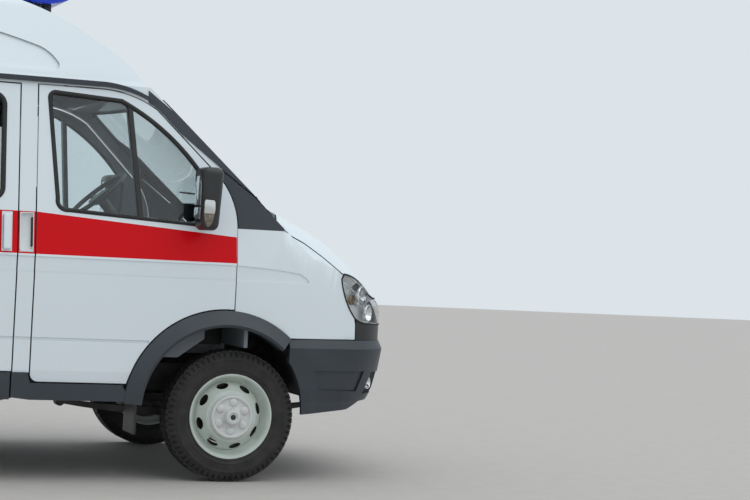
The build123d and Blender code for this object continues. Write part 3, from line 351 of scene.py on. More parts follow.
print("metals ready")

# %% Glass and lenses
cab_glass = surface("cab_glass", (0.80, 0.87, 0.88), 0.02, coat=0.6, glass=(1.0, 1.35), gloss=(3, 0.0, 0.03))
lamp_glass = surface("lamp_glass", (0.95, 0.97, 0.98), 0.02, glass=(1.0, 1.25), gloss=(20, 0.0, 0.04))
clear_cover = surface("clear_cover", (0.93, 0.95, 0.96), 0.06, glass=(0.9, 1.3), gloss=(60, 0.04, 0.16),
                      relief=(260, 0.0008))
blue_lens = surface("blue_lens", (0.0, 0.045, 0.66), 0.10, coat=0.4, glass=(0.15, 1.4), gloss=(14, 0.05, 0.14))
smoky_lens = surface("smoky_lens", (0.42, 0.30, 0.17), 0.12, coat=0.5, glass=(0.4, 1.4), gloss=(20, 0.08, 0.2))
silver_lens = surface("silver_lens", (0.70, 0.72, 0.72), 0.12, metallic=0.75, coat=0.5, gloss=(40, 0.08, 0.2),
                      relief=(180, 0.0006))
smoked_amber = surface("smoked_amber", (0.20, 0.15, 0.10), 0.16, metallic=0.4, coat=0.6,
                       drift=(60, (0.10, 0.085, 0.07), (0.24, 0.19, 0.14)),
                       relief=(200, 0.0006))

FROST_TOP = 1.76
frosted_glass = surface("frosted_glass", (0.75, 0.80, 0.81), 0.05, glass=(1.0, 1.12))
frost = number(frosted_glass, "LESS_THAN", xyz(frosted_glass)[2], FROST_TOP)
frosted = shader_of(frosted_glass).inputs
join(frosted_glass, blend(frosted_glass, frost, (0.42, 0.47, 0.49), (0.78, 0.82, 0.83)), frosted["Base Color"])
join(frosted_glass, number(frosted_glass, "MULTIPLY", frost, 0.6), frosted["Roughness"])
less_clear = number(frosted_glass, "MULTIPLY", frost, 0.75)
join(frosted_glass, number(frosted_glass, "SUBTRACT", 1.0, less_clear), frosted["Transmission Weight"])

reflector = surface("reflector", (0.95, 0.955, 0.96), 0.24, metallic=0.25, gloss=(12, 0.10, 0.25))
ribs = pattern(reflector, "TexWave", 55, wave_type="BANDS", bands_direction="Y")
raised(reflector, ribs.outputs["Fac"], 0.0012)

TAIL_LOW, TAIL_HIGH = 0.76, 1.12
tail_lens = surface("tail_lens", (0.5, 0.02, 0.01), 0.14, coat=0.5, glass=(0.25, 1.4))
fields = add(tail_lens, "ValToRGB")
fields.color_ramp.interpolation = "CONSTANT"
fields.color_ramp.elements[0].color = (0.72, 0.72, 0.70, 1)
fields.color_ramp.elements[1].position = 0.30
fields.color_ramp.elements[1].color = (0.50, 0.008, 0.006, 1)
fields.color_ramp.elements.new(0.70).color = (0.80, 0.26, 0.02, 1)
join(tail_lens, spread(tail_lens, xyz(tail_lens)[2], TAIL_LOW, TAIL_HIGH, 0, 1), fields.inputs["Fac"])
join(tail_lens, fields.outputs["Color"], shader_of(tail_lens).inputs["Base Color"])
raised(tail_lens, pattern(tail_lens, "TexWave", 60, wave_type="BANDS", bands_direction="Z").outputs["Fac"], 0.002)
print("glass ready")

# %% Cloth of the seats
seat_cloth = surface("seat_cloth", (0.11, 0.125, 0.15), 0.9, drift=(26, (0.085, 0.10, 0.12), (0.14, 0.155, 0.18)))
shader_of(seat_cloth).inputs["Sheen Weight"].default_value = 0.35
threads = []
for direction in "YZ":
    wave = pattern(seat_cloth, "TexWave", 110, wave_type="BANDS", bands_direction=direction)
    wave.inputs["Distortion"].default_value = 0.6
    threads.append(wave.outputs["Fac"])
raised(seat_cloth, number(seat_cloth, "MULTIPLY", *threads), 0.0008)
print("cloth ready")

# %% [markdown]
# ## Finishes for the solids that stay
# Each solid's own mesh is right for most pieces, so it only changes its material. A table pairs each finish
# with the nodes that wear it, and a star stands for right and left.

# %% Give every solid its finish
FINISHES = {
    side_paint: "side_panel_* sliding_door door_*",
    rear_paint: "rear_frame rear_door_*",
    plain_paint: "wing_* bonnet",
    roof_paint: "high_roof",
    pillar_paint: "screen_frame",
    trim_plastic: "front_bumper side_trim_* gutters cowl",
    black_plastic: "grille rear_step door_trim_* wheel_liners steering_wheel",
    tyre_rubber: "front_tyre_* rear_tyres_*",
    wheel_paint: "front_rim_* rear_rims_*",
    cab_glass: "windscreen door_glass_*",
    frosted_glass: "cabin_glass rear_glass_*",
    lamp_glass: "headlamps",
    tail_lens: "tail_lamps",
    blue_lens: "light_bar",
    bright_metal: "floodlights",
    chassis_paint: "ladder_frame leaf_springs front_axle rear_axle fuel_tank",
    cast_metal: "engine knuckle_*",
    pipe_steel: "exhaust",
    floor_cover: "floor",
    dash_plastic: "dashboard",
    inner_lining: "firewall partition seats",
}


def paint(piece, material):
    piece.data.materials.clear()
    piece.data.materials.append(material)


finished = set()
for material, names in FINISHES.items():
    for name in names.split():
        for node in {name.replace("*", label) for label, _ in SIDES}:
            paint(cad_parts[node], material)
            finished.add(node)
print("finished", len(finished), "solids, left over:", sorted(set(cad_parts) - finished))

# %% [markdown]
# ## Modelling helpers
# Pieces are drawn the way they would be by hand: a chain of edges is extruded point by point, then spun, filled
# or thickened. The helpers deselect everything first, because an operator acts on all that is selected, and they
# leave each finished piece at the origin, unturned and unscaled, riding on the body that carries it.

# %% Helpers for modes, selection and shapes to start from
def object_mode():
    if bpy.context.object and bpy.context.object.mode != "OBJECT":
        bpy.ops.object.mode_set(mode="OBJECT")


def only(*pieces):
    """Selects these pieces and nothing else. The last one is active."""
    object_mode()
    bpy.ops.object.select_all(action="DESELECT")
    for piece in pieces:
        piece.select_set(True)
    if pieces:
        bpy.context.view_layer.objects.active = pieces[-1]


def edit_all(piece):
    """Enters edit mode with all of the piece selected."""
    only(piece)
    bpy.ops.object.mode_set(mode="EDIT")
    bpy.ops.mesh.select_all(action="SELECT")


def pick(piece, test, kind="FACE"):
    """Enters edit mode with the faces, edges or vertices that pass the test selected, and counts them."""
    edit_all(piece)
    bpy.ops.mesh.select_mode(type=kind)
    bpy.ops.mesh.select_all(action="DESELECT")
    object_mode()
    mesh = piece.data
    count = 0
    for item in {"FACE": mesh.polygons, "EDGE": mesh.edges, "VERT": mesh.vertices}[kind]:
        item.select = bool(test(item))
        count += item.select
    bpy.ops.object.mode_set(mode="EDIT")
    return count


def baked(piece):
    """Writes the piece's place, turn and scale into its mesh."""
    bpy.ops.object.transform_apply(location=True, rotation=True, scale=True)
    return piece


def new_from(name, primitive, stretch=None, **settings):
    """A primitive to start from, stretched about the origin."""
    only()
    getattr(bpy.ops.mesh, f"primitive_{primitive}_add")(**settings)
    piece = baked(bpy.context.object)
    piece.name = name
    if stretch:
        edit_all(piece)
        bpy.ops.transform.resize(value=stretch, center_override=(0, 0, 0))
        object_mode()
    return piece


def chain(name, points):
    """Edges drawn from point to point, left in edit mode."""
    piece = new_from(name, "plane", size=0.001)
    edit_all(piece)
    bpy.ops.mesh.select_mode(type="VERT")
    bpy.ops.mesh.merge(type="CENTER")
    bpy.ops.transform.translate(value=points[0])
    for here, there in zip(points, points[1:]):
        bpy.ops.mesh.extrude_vertices_move(TRANSFORM_OT_translate={"value": Vector(there) - Vector(here)})
    bpy.ops.mesh.select_all(action="SELECT")
    return piece


print("selection helpers ready")


# %% Helpers for shaping
def tidy_mesh(distance=0.0001):
    """Merges what meets and turns the faces outwards. Starts in edit mode, ends in object mode."""
    bpy.ops.mesh.select_all(action="SELECT")
    bpy.ops.mesh.remove_doubles(threshold=distance)
    bpy.ops.mesh.normals_make_consistent(inside=False)
    object_mode()


def turned(name, profile, steps=64):
    """A profile of (radius, outward) spun about the Y axis. Outward is -Y, the right-hand side."""
    piece = chain(name, [(radius, -outward, 0) for radius, outward in profile])
    bpy.ops.mesh.spin(steps=steps, angle=math.tau, center=(0, 0, 0), axis=(0, 1, 0))
    tidy_mesh()
    return piece


def plate(name, outline, thickness):
    """A closed outline of 3-D points, filled and given a thickness along a vector."""
    piece = chain(name, outline)
    bpy.ops.mesh.edge_face_add()
    bpy.ops.mesh.extrude_region_move(TRANSFORM_OT_translate={"value": thickness})
    tidy_mesh()
    return piece


def tube(line, thickness, resolution=3):
    """A piece made of edges alone, turned into a round bead."""
    only(line)
    bpy.ops.object.convert(target="CURVE")
    line.data.bevel_depth = thickness
    line.data.bevel_resolution = resolution
    line.data.use_fill_caps = True
    bpy.ops.object.convert(target="MESH")
    return line


def rod(name, points, thickness):
    """A round rod through the points."""
    return tube(chain(name, points), thickness)


def modify(piece, kind, **settings):
    """Adds a modifier with its settings and applies it."""
    only(piece)
    modifier = piece.modifiers.new(kind.lower(), kind)
    for key, value in settings.items():
        setattr(modifier, key, value)
    bpy.ops.object.modifier_apply(modifier=modifier.name)
    return piece


def softened_box(name, centre, size, width, segments=4):
    """A block with rounded edges, as a start for mouldings."""
    return modify(new_from(name, "cube", size=1, location=centre, scale=size), "BEVEL", width=width,
                  segments=segments)


def carved(piece, test, *steps):
    """Insets the faces that pass the test, once for each (thickness, depth)."""
    pick(piece, test)
    for thickness, depth in steps:
        bpy.ops.mesh.inset(thickness=thickness, depth=depth)
    object_mode()
    return piece


def trimmed(piece, test, kind="FACE"):
    """Deletes the faces that pass the test, and with them the edges and vertices that only they use."""
    pick(piece, test)
    bpy.ops.mesh.delete(type=kind)
    object_mode()
    return piece


def squeezed(piece, test, value, centre):
    """Draws the vertices that pass the test towards the centre."""
    pick(piece, test, "VERT")
    bpy.ops.transform.resize(value=value, center_override=centre)
    object_mode()


def discard(*pieces):
    for piece in pieces:
        bpy.data.objects.remove(piece)


def cut(piece, tool):
    """Takes the tool away from the piece, and removes the tool."""
    modify(piece, "BOOLEAN", operation="DIFFERENCE", solver="EXACT", object=tool)
    discard(tool)


print("shaping helpers ready")


# %% Helpers for copies and for handing a piece over
def moved(piece, location, turn=(0, 0, 0)):
    only(piece)
    piece.rotation_euler = [math.radians(angle) for angle in turn]
    piece.location = location
    return baked(piece)


def twin(piece, name, flip=False):
    """A copy with its own mesh, on the other side of the van if flipped."""
    only(piece)
    bpy.ops.object.duplicate()
    copy = bpy.context.object
    copy.name = name
    if flip:
        copy.scale.y = -1
        baked(copy)
        edit_all(copy)
        bpy.ops.mesh.normals_make_consistent(inside=False)
        object_mode()
    return copy


def joined(name, *pieces):
    only(*pieces)
    if len(pieces) > 1:
        bpy.ops.object.join()
    bpy.context.object.name = name
    return bpy.context.object


def ring_of(piece, count, first=0.0):
    """Copies of a piece set round the Y axis from the first angle on, joined. The piece itself goes."""
    copies = [moved(twin(piece, "copy"), (0, 0, 0), (0, 360 / count * index + first, 0)) for index in range(count)]
    name = piece.name
    discard(piece)
    return joined(name + "s", *copies)


def finish(piece, body, material, smooth=40):
    """Shading, finish and body for a piece that is done."""
    only(piece)
    baked(piece)
    bpy.ops.object.shade_smooth_by_angle(angle=math.radians(smooth))
    paint(piece, material)
    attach(piece, body)
    return piece


def placed(source, name, body, material, location=(0, 0, 0), flip=False):
    """A finished copy of a piece, at its place."""
    return finish(moved(twin(source, name, flip), location), body, material)


def solid_copy(node, name):
    """A welded copy of a solid's mesh, to take its edges and faces from."""
    only()
    copy = bpy.data.objects.new(name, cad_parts[node].data.copy())
    bpy.context.scene.collection.objects.link(copy)
    copy.data.materials.clear()
    only(copy)
    bpy.ops.mesh.customdata_custom_splitnormals_clear()
    bpy.ops.object.mode_set(mode="EDIT")
    tidy_mesh(0.00002)
    return copy


def hit_on(node, origin, direction):
    """Where a ray meets a solid, and the solid's normal there."""
    hit, at, normal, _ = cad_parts[node].ray_cast(origin, direction)
    assert hit, f"a ray misses {node}"
    return at, normal


print("hand-over helpers ready")

# %% [markdown]
# ## Tyres
# The tread shows large in the photograph, so it is modelled. A profile with a bead, two thin sidewall ribs and a
# rounded shoulder is spun in 64 steps, one for each pitch of the tread. Turning the rings between the five rows
# of the tread against each other slants the blocks into a zigzag. Each block is then inset, which leaves the
# grooves, and extruded. Spinning one pitch and copying it round would give the same tyre in more steps.

# %% One tyre with its tread
PITCHES = 64
GROOVE_RADIUS = TYRE_RADIUS - 0.008
SHOULDER_RADIUS = 0.3095
SIDEWALL = [
    (0.2066, 0.066), (0.2200, 0.0835), (0.2270, 0.0865), (0.2300, 0.0880), (0.2320, 0.0870), (0.2440, 0.0905),
    (0.2465, 0.0925), (0.2500, 0.0925), (0.2520, 0.0912), (0.2700, 0.0925), (0.2880, 0.0915), (0.2900, 0.0925),
    (0.2930, 0.0922), (0.2950, 0.0900), (0.3080, 0.0868), (0.3200, 0.0815), (0.3290, 0.0755),
]
ROWS = [0.0725, 0.0450, 0.0180]
half_profile = SIDEWALL + [(GROOVE_RADIUS, out) for out in ROWS]
tyre = turned("tyre", half_profile + [(radius, -out) for radius, out in reversed(half_profile)], PITCHES)


def ring_radius(point):
    return math.hypot(point.x, point.z)


def on_shoulder(face):
    return 0.0730 < abs(face.center.y) < 0.0860 and ring_radius(face.center) > SHOULDER_RADIUS


def in_slot(face):
    """The middle third of each pitch, from the tread down to the sidewall."""
    return on_shoulder(face) and 0.34 < math.atan2(face.center.x, face.center.z) / math.tau * PITCHES % 1 < 0.66


for row, turn in ((0.0450, 0.32), (0.0180, -0.32), (-0.0180, 0.32), (-0.0450, -0.32)):
    pick(tyre, lambda v: abs(v.co.y - row) < 0.001 and ring_radius(v.co) > GROOVE_RADIUS - 0.001, "VERT")
    bpy.ops.transform.rotate(value=turn * math.tau / PITCHES, orient_axis="Y", center_override=(0, 0, 0))
blocks = pick(tyre, lambda f: ring_radius(f.center) > GROOVE_RADIUS - 0.003 and abs(f.center.y) < 0.0725)
bpy.ops.mesh.inset(thickness=0.0024, use_individual=True)
bpy.ops.mesh.extrude_faces_move(TRANSFORM_OT_shrink_fatten={"value": 0.0076})
bpy.ops.mesh.inset(thickness=0.0012, depth=0.0004, use_individual=True)
pick(tyre, on_shoulder)
bpy.ops.mesh.subdivide(number_cuts=2)
slots = pick(tyre, in_slot)
bpy.ops.mesh.extrude_region_shrink_fatten(TRANSFORM_OT_shrink_fatten={"value": -0.0065})
object_mode()
print("tread blocks", blocks, "shoulder slots", slots, "faces", len(tyre.data.polygons))

# %% Tyres on all six wheels
rear_low, rear_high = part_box("rear_tyres_right")
REAR_AXLE_X = (rear_low.x + rear_high.x) / 2
TWIN_OUT_Y = -rear_low.y - TYRE_HALF_WIDTH
TWIN_IN_Y = -rear_high.y + TYRE_HALF_WIDTH


def rear_pair(name, outer, inner, side, flip=False):
    """The outer and the inner wheel of a twin pair, joined."""
    outside = moved(twin(outer, "outside", flip), (REAR_AXLE_X, side * TWIN_OUT_Y, AXLE_Z))
    inside = moved(twin(inner, "inside", flip), (REAR_AXLE_X, side * TWIN_IN_Y, AXLE_Z))
    return joined(name, outside, inside)


for label, side in SIDES:
    front = moved(twin(tyre, f"front_tread_{label}"), (AXLE_X, side * WHEEL_Y, AXLE_Z))
    finish(front, f"front_wheel_{label}", tyre_rubber, 30)
    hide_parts(f"front_tyre_{label}")
    pair = rear_pair(f"rear_treads_{label}", tyre, tyre, side)
    finish(pair, f"rear_wheels_{label}", tyre_rubber, 30)
    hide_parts(f"rear_tyres_{label}")
discard(tyre)
print("six tyres placed")

# %% [markdown]
# ## Wheels
# Each wheel is a rolled barrel with a pressed disc inside. Both are spun from profiles with a real sheet
# thickness, and eight oval vents are cut through the disc by a boolean. The front wheels carry a cap with six
# bulges over the nuts. The rear wheels are the same pressing, the outer one turned inside out, with the hub
# and its nuts in the middle.

# %% Barrel and vented disc
BARREL = [
    (0.2135, 0.0895), (0.2190, 0.0900), (0.2218, 0.0870), (0.2215, 0.0830), (0.2150, 0.0800), (0.2070, 0.0740),
    (0.2040, 0.0400), (0.1850, 0.0200), (0.1850, -0.0250), (0.2040, -0.0420), (0.2070, -0.0740), (0.2210, -0.0850),
    (0.2150, -0.0890), (0.2030, -0.0760), (0.1990, -0.0440), (0.1800, -0.0270), (0.1800, 0.0220), (0.1985, 0.0420),
    (0.2030, 0.0760), (0.2095, 0.0830), (0.2135, 0.0895),
]
DISC_FACE = [
    (0.1815, 0.0140), (0.1785, 0.0250), (0.1720, 0.0360), (0.1600, 0.0490), (0.1500, 0.0600), (0.1410, 0.0740),
    (0.1350, 0.0850), (0.1310, 0.0900), (0.1275, 0.0915), (0.1245, 0.0900), (0.1215, 0.0915), (0.1180, 0.0955),
    (0.1110, 0.0950), (0.0700, 0.0930),
]
SHEET = 0.0045
VENTS = 8
VENT_RADIUS = 0.1595
ACROSS = (math.radians(90), 0, 0)


def vented_wheel(name, dish):
    """Barrel and disc. A dish of 1 stands out towards the viewer, -1 sinks in."""
    back = [(radius, out - SHEET) for radius, out in reversed(DISC_FACE)]
    disc = turned(name + "_disc", [(radius, dish * out) for radius, out in DISC_FACE + back + DISC_FACE[:1]], 96)
    tool = new_from("vent", "cylinder", (0.0325, 1, 0.0135), vertices=24, radius=1, depth=0.2, rotation=ACROSS)
    cut(disc, ring_of(moved(tool, (0, 0, VENT_RADIUS)), VENTS, 30))
    barrel = turned(name + "_barrel", [(radius, dish * out) for radius, out in BARREL], 96)
    return joined(name, barrel, disc)


wheel = vented_wheel("wheel", 1)
sunk_wheel = vented_wheel("sunk_wheel", -1)
print("wheel faces", len(wheel.data.polygons))

# %% Cap, valve, hub and nuts
CAP = [
    (0.1125, 0.0930), (0.1145, 0.0985), (0.1140, 0.1060), (0.1110, 0.1120), (0.1060, 0.1150), (0.1010, 0.1145),
    (0.0970, 0.1110), (0.0940, 0.1065), (0.0900, 0.1045), (0.0750, 0.1050), (0.0600, 0.1060), (0.0500, 0.1075),
    (0.0455, 0.1110), (0.0440, 0.1180), (0.0425, 0.1270), (0.0390, 0.1350), (0.0330, 0.1385), (0.0250, 0.1390),
    (0.0225, 0.1365), (0.0200, 0.1330), (0.0120, 0.1325), (0.0, 0.1325),
]
HUB = [(0.0, 0.0560), (0.0300, 0.0560), (0.0340, 0.0530), (0.0460, 0.0520), (0.0500, 0.0480), (0.0500, -0.0650),
       (0.0690, -0.0700)]
VALVE = [(0.0, 0.096), (0.0032, 0.0955), (0.0042, 0.092), (0.0042, 0.082), (0.0052, 0.080), (0.0052, 0.060)]
# A dark ring just behind the vents is painted shade: a dark sheet that keeps the vents as dark as the shaded inside
# of a wheel.
VENT_SHADE_PROFILE = [(0.1560, 0.0060), (0.1780, 0.0060), (0.1780, 0.0020), (0.1560, 0.0020), (0.1560, 0.0060)]
BEARING = [(0.0140, 0.1330), (0.0130, 0.1350), (0.0080, 0.1356), (0.0, 0.1356)]

cap = turned("cap", CAP, 72)
bearing = turned("bearing", BEARING, 32)
bulge = new_from("bulge", "uv_sphere", (0.0235, 0.0120, 0.0235), segments=20, ring_count=12, radius=1)
cap = joined("cap", ring_of(moved(bulge, (0, -0.1045, 0.0745)), 6, 4), cap)
# The dark ring behind the vents, painted shade for the inside of the wheel.
vent_shade = turned("vent_shade", VENT_SHADE_PROFILE, 64)
valve = moved(turned("valve", VALVE, 16), (-0.1000, 0, -0.1180))
hub = turned("hub", HUB, 48)
nut = new_from("nut", "cylinder", vertices=6, radius=0.0125, depth=0.024, rotation=ACROSS)
modify(nut, "BEVEL", width=0.0025, segments=2)
hub = joined("hub", ring_of(moved(nut, (0, 0.0840, 0.084)), 6), hub)
print("cap", len(cap.data.polygons), "hub", len(hub.data.polygons))

# %% Wheels in place
for label, side in SIDES:
    flip = side > 0
    for source, name, material, slot_name in (
        (wheel, "wheel", wheel_paint, "wheel_paint"), (cap, "cap", cap_paint, "wheel_paint"),
        (bearing, "bearing", black_plastic, "black_plastic"), (valve, "valve", seal_rubber, "black_plastic"),
        (vent_shade, "dust_ring", chassis_paint, "black_steel"),
    ):
        at = (AXLE_X, side * WHEEL_Y, AXLE_Z)
        part = placed(source, f"front_{name}_{label}", f"front_wheel_{label}", material, at, flip)
        if source is wheel:
            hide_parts(f"front_rim_{label}")
    rims = rear_pair(f"rear_wheels_painted_{label}", sunk_wheel, wheel, side, flip)
    finish(rims, f"rear_wheels_{label}", wheel_paint)
    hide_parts(f"rear_rims_{label}")
    at = (REAR_AXLE_X, side * TWIN_OUT_Y, AXLE_Z)
    placed(hub, f"rear_hub_{label}", f"rear_wheels_{label}", cast_metal, at, flip)
discard(wheel, sunk_wheel, cap, bearing, valve, vent_shade, hub)
print("wheels placed")

# %% [markdown]
# ## Window rubbers
# A thick black rubber runs round every pane, and the photograph shows it as the darkest line on the body. It
# follows the pane's own edge, so the edge is taken from the pane's solid: the outward faces are picked, their
# boundary is split off as a line, and the line becomes a round bead. Drawing the outlines again by hand would
# let them drift away from the glass.

# %% Beads round the panes
def bead(name, node, outward, depth, thickness, body):
    """A bead along the outer edge of a pane's solid, on the side that faces outward."""
    copy = solid_copy(node, name)
    direction = Vector(outward).normalized()
    pick(copy, lambda f: f.normal.dot(direction) > 0.5 and f.center.dot(direction) > 0)
    bpy.ops.mesh.region_to_loop()
    bpy.ops.mesh.duplicate()
    bpy.ops.mesh.separate(type="SELECTED")
    object_mode()
    line = next(piece for piece in bpy.context.selected_objects if piece is not copy)
    discard(copy)
    line.name = name
    moved(tube(line, thickness), direction * depth)
    finish(line, body, seal_rubber)


for label, side in SIDES:
    flank = (0, side, 0.2)
    bead(f"door_rubber_{label}", f"door_glass_{label}", flank, 0.002, 0.0125, f"front_door_{label}")
    bead(f"cabin_rubber_{label}", "cabin_glass", flank, 0.002, 0.0135, "chassis")
    bead(f"rear_rubber_{label}", f"rear_glass_{label}", (-1, 0, 0), 0.006, 0.0120, f"rear_door_{label}")
bead("screen_rubber", "windscreen", (0.7, 0, 0.7), 0.001, 0.0110, "chassis")
print("seven window rubbers")

# %% [markdown]
# ## Headlamps
# The lamp's solid is a clear lens. What the eye reads as a headlamp lies behind it: a silvered tray with fine
# upright ribs, two chrome bowls and a smoky indicator at the rear edge. The tray is the lens's own outer face,
# pushed inwards with its walls left standing, so that it follows the lens all round. The bowls are spun and set
# into it, a thin lens closes it, and a dark gasket runs along the joint.

# %% Tray, bowls, lens and gasket
lamp_low, lamp_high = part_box("headlamps")
LAMP_DEPTH = 0.050
LAMP_TURN = 46


def lamp_turn(side):
    """The angles that turn a spun piece from the right-hand side to face half forwards."""
    return (0, 0, 90 + side * (90 - LAMP_TURN))


def lamp_face(name, side):
    """The lens's outer face on one side, alone."""
    centre = Vector((lamp_low.x, side * 0.45, 0.98))

    def outer(face):
        return (face.center.y * side > 0 and face.normal.dot(face.center - centre) > 0.12 and face.normal.x > -0.2
                and abs(face.normal.z) < 0.85 and face.normal.y * side > -0.3)

    return trimmed(solid_copy("headlamps", name), lambda face: not outer(face))


def lamp_bucket(name, side):
    """The same face pushed inwards with its walls left standing."""
    bucket = lamp_face(name, side)
    front_points = len(bucket.data.vertices)
    edit_all(bucket)
    bpy.ops.transform.shrink_fatten(value=-0.0035)
    bpy.ops.mesh.extrude_region_shrink_fatten(TRANSFORM_OT_shrink_fatten={"value": -LAMP_DEPTH})
    trimmed(bucket, lambda face: all(point < front_points for point in face.vertices), "ONLY_FACE")
    return modify(bucket, "SOLIDIFY", thickness=0.001, offset=-1)


def lamp_gasket(name, side):
    """The edge of that face as a thin dark bead."""
    gasket = lamp_face(name, side)
    edit_all(gasket)
    bpy.ops.mesh.region_to_loop()
    bpy.ops.mesh.select_all(action="INVERT")
    bpy.ops.mesh.delete(type="EDGE")
    return tube(gasket, 0.0045, 2)


def bowl(name, radius, at, side):
    """A chrome bowl with a rolled rim and a bulb in the middle, facing half forwards."""
    profile = [
        (radius * 1.10, -0.010), (radius * 1.08, 0.004), (radius, 0.007), (radius * 0.93, 0.003),
        (radius * 0.80, -0.010), (radius * 0.55, -0.022), (radius * 0.25, -0.028), (radius * 0.20, -0.010),
        (radius * 0.16, -0.003), (0.0, 0.0),
    ]
    return moved(turned(name, profile, 40), at, lamp_turn(side))


def lamp_bowl(name, radius, x, y, z, depth, side):
    """A bowl that depth behind the lens, on the line that runs outwards through the point."""
    turn = math.radians(LAMP_TURN)
    out = Vector((math.sin(turn), side * math.cos(turn), 0))
    point = Vector((AXLE_X + x, side * y, z))
    at, _ = hit_on("headlamps", point + out, -out)
    return bowl(name, radius, at - out * depth, side)


for label, side in SIDES:
    finish(lamp_bucket(f"lamp_bucket_{label}", side), "chassis", reflector, 30)
    finish(lamp_gasket(f"lamp_gasket_{label}", side), "chassis", seal_rubber)
    upper = lamp_bowl("upper_bowl", 0.050, 0.718, 0.828, 0.992, 0.024, side)
    lower = lamp_bowl("lower_bowl", 0.042, 0.776, 0.800, 0.902, 0.022, side)
    finish(joined(f"lamp_bowls_{label}", upper, lower), "chassis", bright_metal)
    indicator = lamp_bowl(f"lamp_indicator_{label}", 0.026, 0.657, 0.860, 0.972, 0.018, side)
    finish(indicator, "chassis", smoky_lens)
lenses = [modify(lamp_face(f"lamp_lens_{label}", side), "SOLIDIFY", thickness=0.0025, offset=-1)
          for label, side in SIDES]
for lens in lenses:
    finish(lens, "chassis", lamp_glass, 30)
    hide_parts("headlamps")
print("lamps between", lamp_low[:], lamp_high[:])

# %% [markdown]
# ## Light bar
# The bar is an oval blue shell with rounded ends, split by a thin joint along its middle, on a black base with
# two feet. A cylinder squashed to the oval and bevelled at its ends gives the shell. The joint and the base
# are the same cross section, slightly larger and cut down. Round reflectors inside it show through the shell.

# %% Blue shell, joint, base and feet
bar_low, bar_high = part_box("light_bar")
bar_half = (bar_high - bar_low) / 2
BAR_X = (bar_low.x + bar_high.x) / 2
BAR_HALF_Z = 0.054
roof_under_bar, _ = hit_on("high_roof", (BAR_X, 0, 4), (0, 0, -1))
BAR_Z = min(bar_high.z - BAR_HALF_Z, roof_under_bar.z + BAR_HALF_Z + 0.014)


def bar_oval(name, half_x, half_y, half_z, rounding=0.024):
    shell = new_from(name, "cylinder", (half_x, half_y, half_z), vertices=64, radius=1, depth=2, rotation=ACROSS)
    pick(shell, lambda f: abs(f.normal.y) > 0.9)
    bpy.ops.mesh.bevel(offset=rounding, segments=5, affect="EDGES")
    object_mode()
    return moved(shell, (BAR_X, 0, BAR_Z))


shell = bar_oval("bar_shell", bar_half.x - 0.001, bar_half.y - 0.001, BAR_HALF_Z - 0.001)
finish(shell, "chassis", blue_lens)
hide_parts("light_bar")
joint = bar_oval("bar_joint", bar_half.x - 0.0002, bar_half.y - 0.0002, BAR_HALF_Z - 0.0002)
trimmed(joint, lambda f: abs(f.center.z - BAR_Z) > 0.0065)
finish(joint, "chassis", blue_lens)

base = bar_oval("base", bar_half.x * 0.55, bar_half.y - 0.05, BAR_HALF_Z * 0.98, 0.020)
edit_all(base)
bpy.ops.mesh.bisect(plane_co=(0, 0, BAR_Z - 0.044), plane_no=(0, 0, 1), clear_outer=True, use_fill=True)
tidy_mesh()
moved(base, (0, 0, -0.004))
feet = [softened_box("foot", (BAR_X + 0.030, side * 0.445, BAR_Z - 0.085), (0.045, 0.05, 0.09), 0.010, 3)
        for side in (-1, 1)]
finish(joined("bar_base", *feet, base), "chassis", black_plastic)

DISH = [(0.040, 0.010), (0.036, 0.002), (0.020, -0.012), (0.008, -0.014), (0.007, 0.004), (0.0, 0.006)]
dish = turned("dish", DISH, 24)
dishes = [moved(twin(dish, "copy"), (BAR_X, (index - 2.5) * 0.17, BAR_Z), (90, 0, 0)) for index in range(6)]
finish(joined("bar_reflectors", *dishes), "chassis", bright_metal)
discard(dish)
dot = turned("bar_dot", [(0.011, 0.0), (0.011, 0.003), (0.008, 0.0042), (0.0, 0.0046)], 24)
moved(dot, (BAR_X + 0.012, 0.0055 - bar_half.y, BAR_Z - 0.014))
finish(dot, "chassis", white_plastic)
print("bar centre", round(BAR_Z, 3), "over the roof at", round(roof_under_bar.z, 3))

# %% Work lamps on the roof's sides
HOUSING = [
    (0.0, -0.050), (0.030, -0.050), (0.034, -0.040), (0.052, -0.030), (0.061, -0.012),
    (0.0625, -0.003), (0.0625, 0.0), (0.0580, 0.0), (0.0570, -0.004), (0.0450, -0.016),
    (0.0200, -0.026), (0.0080, -0.026), (0.0070, -0.010), (0.0, -0.008),
]
COVER = [(0.0575, -0.0035), (0.0500, -0.0015), (0.0300, -0.0003), (0.0, 0.0)]
flood_low, flood_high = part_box("floodlights")
flood = (flood_low + flood_high) / 2
for label, side in SIDES:
    for profile, name, material, slot_name in (
        (HOUSING, "work_lamp", bright_metal, "chrome_lamp"), (COVER, "work_lamp_cover", clear_cover, "clear_glass"),
    ):
        piece = moved(turned(f"{name}_{label}", profile, 48), (0, 0, 0), (0, 0, 90 + 90 * side))
        finish(moved(piece, (flood.x, side * flood_high.y, flood.z)), "chassis", material)
print("work lamps at", round(flood.x, 3), round(flood_high.y, 3), round(flood.z, 3))

# %% [markdown]
# ## A softer shoulder on the nose
# Where the swept bonnet meets the plan of the wing, the solid has a sharp crease, while pressed steel runs over
# in a round. The shape is kept and only its shading is rounded: the mesh is divided finely, each face's normal
# is averaged with its neighbours' a number of times, and the result is stored as the mesh's own normals. Real
# edges, where the angle is large, are left out of the averaging.

# %% Rounded shading for the bonnet and the wings
PANEL_EDGE = math.radians(72)
PATCH = 0.028
ROUNDS = 90


def divided(piece):
    """Long edges are halved until none is longer than a patch."""

    def too_long(edge):
        first, second = (piece.data.vertices[index].co for index in edge.vertices)
        return (first - second).length > PATCH

    for _ in range(6):
        if not pick(piece, too_long, "EDGE"):
            break
        bpy.ops.mesh.subdivide(number_cuts=1)
        bpy.ops.mesh.select_all(action="SELECT")
        bpy.ops.mesh.quads_convert_to_tris()
    object_mode()
    return piece


def unit(vectors):
    return vectors / numpy.maximum(numpy.linalg.norm(vectors, axis=-1, keepdims=True), 1e-9)


